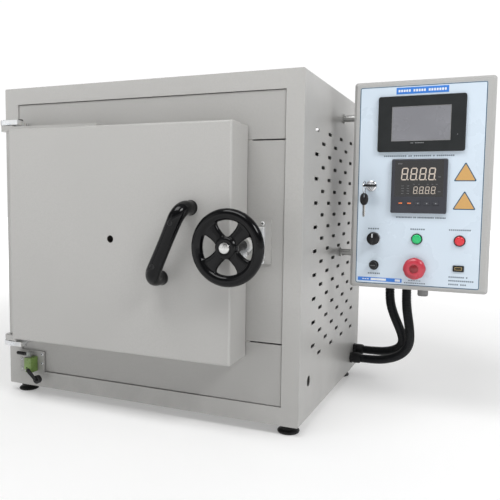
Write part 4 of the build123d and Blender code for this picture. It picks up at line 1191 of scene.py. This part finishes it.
def print_shapes(name, shapes, material, body="control_lid", slot="overlay_film", face=None, rise=INK):
    bm = bmesh.new()
    for outline in shapes:
        prism(bm, outline, FILM_FACE if face is None else face, rise)
    return piece(name, bm, material, body, slot, (), 20)


def bar(a0, a1, b0, b1, r=0.4):
    x0, z0 = on_lid(a0, b0)
    x1, z1 = on_lid(a1, b1)
    r = min(r, (x1 - x0) * 0.45, (z1 - z0) * 0.45)
    return rounded_rect(x0, x1, z0, z1, r, 3)


def dashes(a0, a1, b, height, words):
    """A caption stood in for by rows of small plain blocks, one row for each word."""
    unit = (a1 - a0) / (sum(words) + 0.8 * (len(words) - 1))
    shapes = []
    a = a0
    for word in words:
        for i in range(word):
            left = a + (i + 0.12) * unit
            shapes.append(bar(left, left + 0.7 * unit, b - height / 2, b + height / 2, height * 0.12))
        a += (word + 0.8) * unit
    return shapes


def triangle(a_mid, b_base, b_apex, half, inset=0.0, r=1.6):
    """Outline of an upright triangle with rounded corners, shrunk by an inset."""
    x, z_base = on_lid(a_mid, b_base)
    z_apex = on_lid(a_mid, b_apex)[1]
    corners = [Vector((x - half, z_base)), Vector((x + half, z_base)), Vector((x, z_apex))]
    middle_point = (corners[0] + corners[1] + corners[2]) / 3
    inner_r = abs(z_apex - z_base) / 3
    shrink = 1 - (inset + r) / inner_r
    corners = [middle_point + (c - middle_point) * shrink for c in corners]
    outline = []
    for i in range(3):
        before = (corners[i] - corners[i - 1]).normalized()
        after = (corners[(i + 1) % 3] - corners[i]).normalized()
        turn = math.acos(max(-1, min(1, before.dot(after))))
        first_angle = math.atan2(before.y, before.x) - math.pi / 2
        for k in range(6):
            angle = first_angle + turn * k / 5
            outline.append((corners[i].x + r * math.cos(angle), corners[i].y + r * math.sin(angle)))
    return outline


def make_prints():
    """The film's border, blue bars, rows of plain marks for captions, and plain triangles."""
    outer = rounded_rect(film_low.x + 0.2, film_high.x - 0.2, film_low.z + 0.2, film_high.z - 0.2, 3, 6)
    inner = rounded_rect(film_low.x + 1.5, film_high.x - 1.5, film_low.z + 1.5, film_high.z - 1.5, 2, 6)
    border = bmesh.new()
    ring_prism(border, outer, inner, FILM_FACE, INK)
    piece("print_border", border, teal_ink, "control_lid", "overlay_film", (), 20)
    print_shapes("print_blue_bars", [bar(75.8, 165.4, 350, 361.6), bar(15.8, 96.3, 12.5, 19.5)], blue_ink)
    white = dashes(79, 162, 355.8, 4.2, (5, 5, 7))
    white += [bar(40, 68, 14, 18), bar(84, 93.5, 14, 18)] + dashes(24, 37, 16, 1.6, (3,))
    print_shapes("print_white", white, white_ink, rise=INK * 1.9)
    captions = dashes(57, 179, 241, 2.6, (12, 2, 9, 1, 9))
    captions += dashes(82, 168.5, 131.5, 2.6, (11, 2, 11, 7))
    captions += dashes(32, 53, 109.5, 2.6, (5,)) + dashes(108, 134, 110.5, 2.6, (7,))
    captions += dashes(174, 211, 111, 2.6, (11,)) + dashes(34, 57, 27, 2.6, (7,))
    captions += dashes(107, 130, 17.6, 1.5, (5,)) + dashes(100, 138, 13.0, 1.9, (10,))
    for b, a1, words in ((28, 209, (8, 1)), (21.5, 219, (13,)), (15, 207, (5, 3))):
        captions += dashes(176.5, a1, b, 2.6, words)
    print_shapes("print_captions", captions, slate_ink)
    print_shapes("print_triangle_edges", [triangle(*spot) for spot in TRIANGLES], teal_ink)
    faces = [triangle(*spot, 1.7, 1.0) for spot in TRIANGLES]
    print_shapes("print_triangles", faces, amber_ink, rise=INK * 1.9)


# each stroke's place in half widths and half heights, and whether it lies flat
SEGMENTS = ((0, 1, 1), (1, 0.5, 0), (1, -0.5, 0), (0, -1, 1), (-1, -0.5, 0), (-1, 0.5, 0), (0, 0, 1))


def digit(x, z, width, height, stroke, slant=0.1):
    """Seven lit strokes and a point, each a slim hexagon."""
    shapes = []
    half_w = (width - stroke) / 2
    half_h = (height - stroke) / 2
    gap = stroke * 0.14
    for sx, sz, flat in SEGMENTS:
        cx = x + sx * half_w
        cz = z + sz * half_h
        long_half = (half_w if flat else half_h / 2) - gap
        s = stroke / 2
        tips = [(-long_half, 0), (-long_half + s, -s), (long_half - s, -s)]
        tips += [(long_half, 0), (long_half - s, s), (-long_half + s, s)]
        points = [(cx + a, cz + b) if flat else (cx - b, cz + a) for a, b in tips]
        shapes.append([(px + slant * (pz - z), pz) for px, pz in points])
    dot_x = x + width / 2 + stroke * 0.75 - slant * height / 2
    dot_z = z - height / 2
    dot = rounded_rect(dot_x - stroke / 2, dot_x + stroke / 2, dot_z, dot_z + stroke, stroke * 0.3, 2)
    shapes.append(dot)
    return shapes


def make_displays():
    """Lit digits, marks in the window and on the keys, the screen's rim and the panel's marks."""
    window_face = span("controller_window")[0].y
    in_window = {"slot": "window_plastic", "face": window_face}
    upper, lower = [], []
    for i in range(4):
        x, z = on_lid(96.2 + 15.6 * i, 208.6)
        upper += digit(x, z, 11.2, 22, 1.9)
        x, z = on_lid(115.6 + 10.1 * i, 180.0)
        lower += digit(x, z, 6.9, 12.8, 1.0)
    print_shapes("digits_upper", upper, segment_light, **in_window)
    print_shapes("digits_lower", lower, segment_light, **in_window)
    marks = [bar(153.5, 158, 202.6, 204), bar(153.5, 158, 177.0, 178.4), bar(84, 91.5, 226, 227.8)]
    for a in (91, 100.5):
        for b in (187, 182.5, 178, 173.5):
            marks.append(bar(a, a + 4.2, b, b + 1.1))
    marks += [bar(a, a + 3, 190, 191) for a in (111, 120, 135, 143, 150)]
    print_shapes("window_marks", marks, grey_ink, **in_window)
    for i, name in enumerate(KEYS):
        low, high = span(name)
        cx, cz = (low.x + high.x) / 2, (low.z + high.z) / 2
        body = "key_" + str(i + 1)
        if i < 2:
            lefts = [cx - 2.9 + 2.1 * k for k in range(3)]
            shapes = [rounded_rect(left, left + 1.5, cz - 1, cz + 1, 0.3, 2) for left in lefts]
            print_shapes(name + "_mark", shapes, orange_light, body, "key_rubber", low.y + 0.02)
        else:
            angle = (math.pi, -math.pi / 2, math.pi / 2)[i - 2]
            arrow = []
            for k in range(3):
                turn = angle + TURN * k / 3
                arrow.append((cx + 1.5 * math.cos(turn), cz + 1.5 * math.sin(turn)))
            print_shapes(name + "_mark", [arrow], pale_mark, body, "key_rubber", low.y + 0.02)
    low, high = span("touch_screen")
    rim = bmesh.new()
    outer = rounded_rect(low.x + 0.05, high.x - 0.05, low.z + 0.05, high.z - 0.05, 0.6, 3)
    inner = rounded_rect(low.x + 1.1, high.x - 1.1, low.z + 1.1, high.z - 1.1, 0.4, 3)
    ring_prism(rim, outer, inner, low.y, 0.12)
    piece("screen_rim", rim, grey_plastic, "control_lid", "bezel_plastic", (), 20)
    on_panel = {"slot": "bezel_plastic", "face": span("touch_panel")[0].y}
    print_shapes("panel_dash", dashes(104, 127, 263.4, 1.2, (2, 6)), pale_mark, **on_panel)
    print_shapes("panel_light", [bar(182, 183.2, 276, 277.2, 0.5)], pale_mark, **on_panel)


def make_rings():
    """Rings round the lamps, fuse, selector, stop button and lock."""
    dark, bright = bmesh.new(), bmesh.new()
    lamp_ring = [(8.3, 0), (9.9, 0), (9.9, 1.6), (9.4, 2.4), (8.6, 2.5), (8.3, 2.1)]
    for name in ("green_lamp", "red_lamp"):
        c = middle(name)
        closed_lathe(dark, at(c.x, FILM_FACE, c.z), TOWARDS, lamp_ring, 56)
    for place, outer, inner, rise in ((FUSE_AT, 8.8, 4.2, 2.5), (STOP_AT, 14.5, 8.2, 4.0)):
        x, z = on_lid(*place)
        ring = [(inner, 0), (outer, 0), (outer, rise - 0.8), (outer - 0.8, rise), (inner, rise)]
        closed_lathe(dark, at(x, FILM_FACE, z), TOWARDS, ring, 56)
    x, z = on_lid(*SELECTOR_AT)
    ring = [(4.2, 0), (12.7, 0), (12.7, 1.4), (12.0, 2.6), (10.6, 3.0), (10.2, 2.2), (4.2, 2.2)]
    closed_lathe(bright, at(x, FILM_FACE, z), TOWARDS, ring, 64)
    x, z = on_lid(*LOCK_AT)
    ring = [(6.45, 0), (10.2, 0), (10.2, 1.0), (9.4, 2.2), (8.0, 2.9), (6.9, 3.0), (6.45, 2.7)]
    closed_lathe(bright, at(x, FILM_FACE, z), TOWARDS, ring, 64)
    piece("rings_black", dark, black_plastic, "control_lid", "bezel_metal", ("panel_bezels",), 35)
    piece("rings_bright", bright, chrome_look, "control_lid", "bezel_metal", (), 35)


def make_selector():
    """A ribbed knob with a raised grip and a white line."""
    c = middle("selector_knob")
    face = FILM_FACE - 3.3
    bm = bmesh.new()
    skirt = [(3.4, -20), (3.4, -0.1), (11.6, 0), (11.6, 6.4), (11.2, 8.2), (10.2, 9.0), (0.02, 9.2)]
    lathe(bm, at(c.x, face, c.z), TOWARDS, skirt, 72, 18, 0.015)
    block(bm, (c.x - 3.0, face - 15.9, c.z - 10.9), (c.x + 3.0, face - 7.0, c.z + 10.9), 1.3, 3)
    piece("selector_knob_body", bm, black_plastic, "selector", "black_plastic", ("selector_knob",), 40)
    line = rounded_rect(c.x - 0.9, c.x + 0.9, c.z + 2.6, c.z + 9.6, 0.4, 3)
    print_shapes("selector_line", [line], white_ink, "selector", "black_plastic", face - 15.9, 0.08)


def make_fuse():
    """A ribbed fuse cap with a driver's slot."""
    c = middle("fuse_cap")
    face = FILM_FACE - 2.8
    cap = [(2.4, -14), (2.4, -0.1), (6.9, 0), (6.9, 6.8), (6.4, 7.7), (5.6, 8.0), (0.02, 7.9)]
    looks = (black_plastic, "fuse", "black_plastic")
    lathe_piece("fuse_cap_body", at(c.x, face, c.z), TOWARDS, cap, (72, 20, 0.05), looks, ("fuse_cap",), 35)
    slot_shape = rounded_rect(c.x - 4.6, c.x + 4.6, c.z - 0.55, c.z + 0.55, 0.4, 3)
    print_shapes("fuse_slot", [slot_shape], grey_ink, "fuse", "black_plastic", face - 7.93, 0.05)


def make_stop():
    """A red mushroom head with a darker disc set in its crown."""
    c = middle("stop_head")
    back = at(c.x, FILM_FACE - 9.5, c.z)
    head = [(7.8, -30), (7.8, -0.2), (13, 0), (18.4, 0.2), (19.7, 1.6), (19.8, 3.6), (19.0, 6.2), (16.6, 8.6)]
    head += [(12.6, 10.2), (9.2, 10.6), (8.4, 10.4), (7.9, 9.5), (0.02, 9.5)]
    looks = (stop_red, "stop_button", "stop_red")
    lathe_piece("stop_mushroom", back, TOWARDS, head, (96, 8, 0.02), looks, ("stop_head",))
    disc = [(7.4, 9.5), (7.4, 9.9), (6.8, 10.3), (0.02, 10.5)]
    lathe_piece("stop_centre", back, TOWARDS, disc, (48,), (dark_red, "stop_button", "stop_red"))


def make_usb():
    """A brass rim round the port, a black block close behind the rim that paints the shade of the port's
    cavity, and the socket's black contact bar.
    """
    low, high = span("usb_port")
    cx, cz = (low.x + high.x) / 2, (low.z + high.z) / 2
    shell = bmesh.new()
    outer = rounded_rect(cx - 6.1, cx + 6.1, cz - 2.6, cz + 2.6, 0.5, 3)
    inner = rounded_rect(cx - 5.4, cx + 5.4, cz - 1.8, cz + 1.8, 0.4, 3)
    ring_prism(shell, outer, inner, low.y + 0.1, 0.09)
    piece("usb_shell", shell, brass, "control_lid", "bezel_metal", (), 20)
    tongue_and_shade_block = bmesh.new()
    # painted shade: this first black block fills the port a little behind the rim, standing for the shade
    # inside its cavity; the second block is the contact bar
    block(tongue_and_shade_block, (cx - 5.9, low.y + 2.2, cz - 2.35), (cx + 5.9, low.y + 10.5, cz + 2.35), 0.2, 1)
    block(tongue_and_shade_block, (cx - 4.8, low.y + 0.8, cz + 0.1), (cx + 4.8, low.y + 4.5, cz + 1.5), 0.2, 1)
    piece("usb_tongue_and_painted_shade", tongue_and_shade_block, black_plastic, "control_lid", "port_plastic", (), 30)


KEY_HALF_W = 12.45
KEY_HALF_L = 10.95


def oval_reach(start, angle):
    """Distance from a point inside the key's oval head to its outline along an angle."""
    run, rise = math.cos(angle) / KEY_HALF_W, math.sin(angle) / KEY_HALF_L
    u, v = start[0] / KEY_HALF_W, start[1] / KEY_HALF_L
    a = run * run + rise * rise
    b = run * u + rise * v
    return (math.sqrt(b * b - a * (u * u + v * v - 1)) - b) / a


def key_head(bm, centre, across, along, hole):
    """A flat oval key head in the across-along plane, with a ring hole and eased rims."""
    normal = across.cross(along)
    loops = []
    section = ((-1.1, 0, 1), (-1.95, -0.5, 1), (-1.95, 0.5, 0), (-1.4, 0, 0))
    section += tuple((-h, inset, outer) for h, inset, outer in reversed(section))
    for offset, inset, outer in section:
        loop = []
        for i in range(64):
            angle = TURN * i / 64
            reach = (oval_reach(hole, angle) if outer else 4.05) + inset
            point = centre + across * (hole[0] + reach * math.cos(angle))
            point += along * (hole[1] + reach * math.sin(angle)) + normal * offset
            loop.append(bm.verts.new(at(*point)))
        loops.append(loop)
    bridge(bm, loops, closed=True)


def key_blade(bm, x, y, z_top, z_tip, thick, teeth):
    """A notched blade that hangs in the Y-Z plane, with its teeth towards the back."""
    half = 3.3
    length = z_top - z_tip
    outline = [(y - half, z_top), (y - half, z_tip + 2), (y, z_tip)]
    for i, cut in enumerate(teeth):
        share = 1 - (i + 0.6) / (len(teeth) + 1.6)
        for shift, depth in ((0.035, 0), (0, cut), (-0.035, 0)):
            outline.append((y + half - depth, z_top - length * (share + shift)))
    outline.append((y + half, z_top))
    rings = []
    for offset in (-thick / 2, thick / 2):
        rings.append([bm.verts.new(at(x + offset, across, up)) for across, up in outline])
    bridge(bm, rings)


def make_keys():
    """The level key in the lock, and a spare that hangs from it on a split ring."""
    lock_x, lock_z = on_lid(*LOCK_AT)
    lock_face = FILM_FACE - 3
    bow_y = lock_face - 4 - 11
    ring_x, ring_y, ring_z = lock_x - 6.5, bow_y - 13.8, lock_z - 4
    ring_r, wire = 11.5, 0.78
    plug = bmesh.new()
    barrel = [(6.3, -16), (6.3, 0.0), (6.0, 0.45), (0.02, 0.45)]
    lathe(plug, at(lock_x, lock_face, lock_z), TOWARDS, barrel, 40)
    block(plug, (lock_x - 3.4, bow_y + 9.2, lock_z - 0.9), (lock_x + 3.4, lock_face, lock_z + 0.9), 0.25, 1)
    piece("lock_plug", plug, chrome_look, "lock", "bezel_metal", ("lock_key",), 30)
    bow = bmesh.new()
    key_head(bow, Vector((lock_x, bow_y, lock_z)), RIGHT, BEHIND, (-6.5, -3))
    piece("lock_key_bow", bow, black_plastic, "lock", "key_black", (), 35)
    ring = bmesh.new()
    line = []
    for i in range(72):
        angle = TURN * i / 72
        line.append(at(ring_x, ring_y + ring_r * math.cos(angle), ring_z + ring_r * math.sin(angle)))
    sweep(ring, line, [wire] * 72, 12, closed=True)
    piece("key_ring", ring, chrome_look, "hanging_key", "bezel_metal", (), 60)
    spare_z = ring_z - ring_r + 0.5 - 4 - 5.5
    turned = math.radians(-50)
    sideways = Vector((math.cos(turned), math.sin(turned), 0))
    head = bmesh.new()
    key_head(head, Vector((ring_x, ring_y, spare_z)), sideways, UP, (0, 5.5))
    piece("spare_bow", head, black_plastic, "hanging_key", "key_black", ("spare_key",), 35)
    blade = bmesh.new()
    key_blade(blade, ring_x, ring_y, spare_z - 10.5, spare_z - 31.8, 1.7, (1.2, 2.0, 0.9, 1.7, 1.3))
    turn = Matrix.Rotation(turned + TURN / 4, 3, "Z")
    bmesh.ops.rotate(blade, cent=at(ring_x, ring_y, spare_z), matrix=turn, verts=blade.verts)
    piece("spare_blade", blade, turned_steel, "hanging_key", "pin_steel", (), 20)


def make_box_details():
    """Screws in the box's back, and the collars at the rods' ends."""
    low, high = span("box_shell")
    places = [(x, high.y, z) for x in (low.x + 14, high.x - 14) for z in (low.z + 14, high.z - 14)]
    screws("box_back_screws", places, BEHIND, 3.6, 1.7, "cabinet", "zinc")
    rods_low, rods_high = span("support_rods")
    collar = [(6.6, 0.1), (9.4, 0.1), (9.4, 3.0), (8.6, 3.8), (6.6, 4.0)]
    rod_y, rod_r = 268, 6.5
    collars = bmesh.new()
    for z in (rods_low.z + rod_r, rods_high.z - rod_r):
        for x, axis in ((rods_low.x, RIGHT), (rods_high.x, -RIGHT)):
            closed_lathe(collars, at(x, rod_y, z), axis, collar, 40)
    piece("rod_collars", collars, rod_paint, "cabinet", "rod_paint", (), 35)


def build():
    lay_floor()
    light_studio()
    aim_camera()
    lay_conduit("conduit_front", FRONT_ROUTE)
    lay_conduit("conduit_rear", REAR_ROUTE)
    make_glands()
    make_feet()
    make_handle()
    make_handwheel()
    make_spindle()
    make_clamp_details()
    make_hinge_bolts()
    make_switch()
    make_gasket()
    make_elements()
    make_casing_details()
    make_door_details()
    make_prints()
    make_displays()
    make_rings()
    make_selector()
    make_fuse()
    make_stop()
    make_usb()
    make_keys()
    make_box_details()


build()
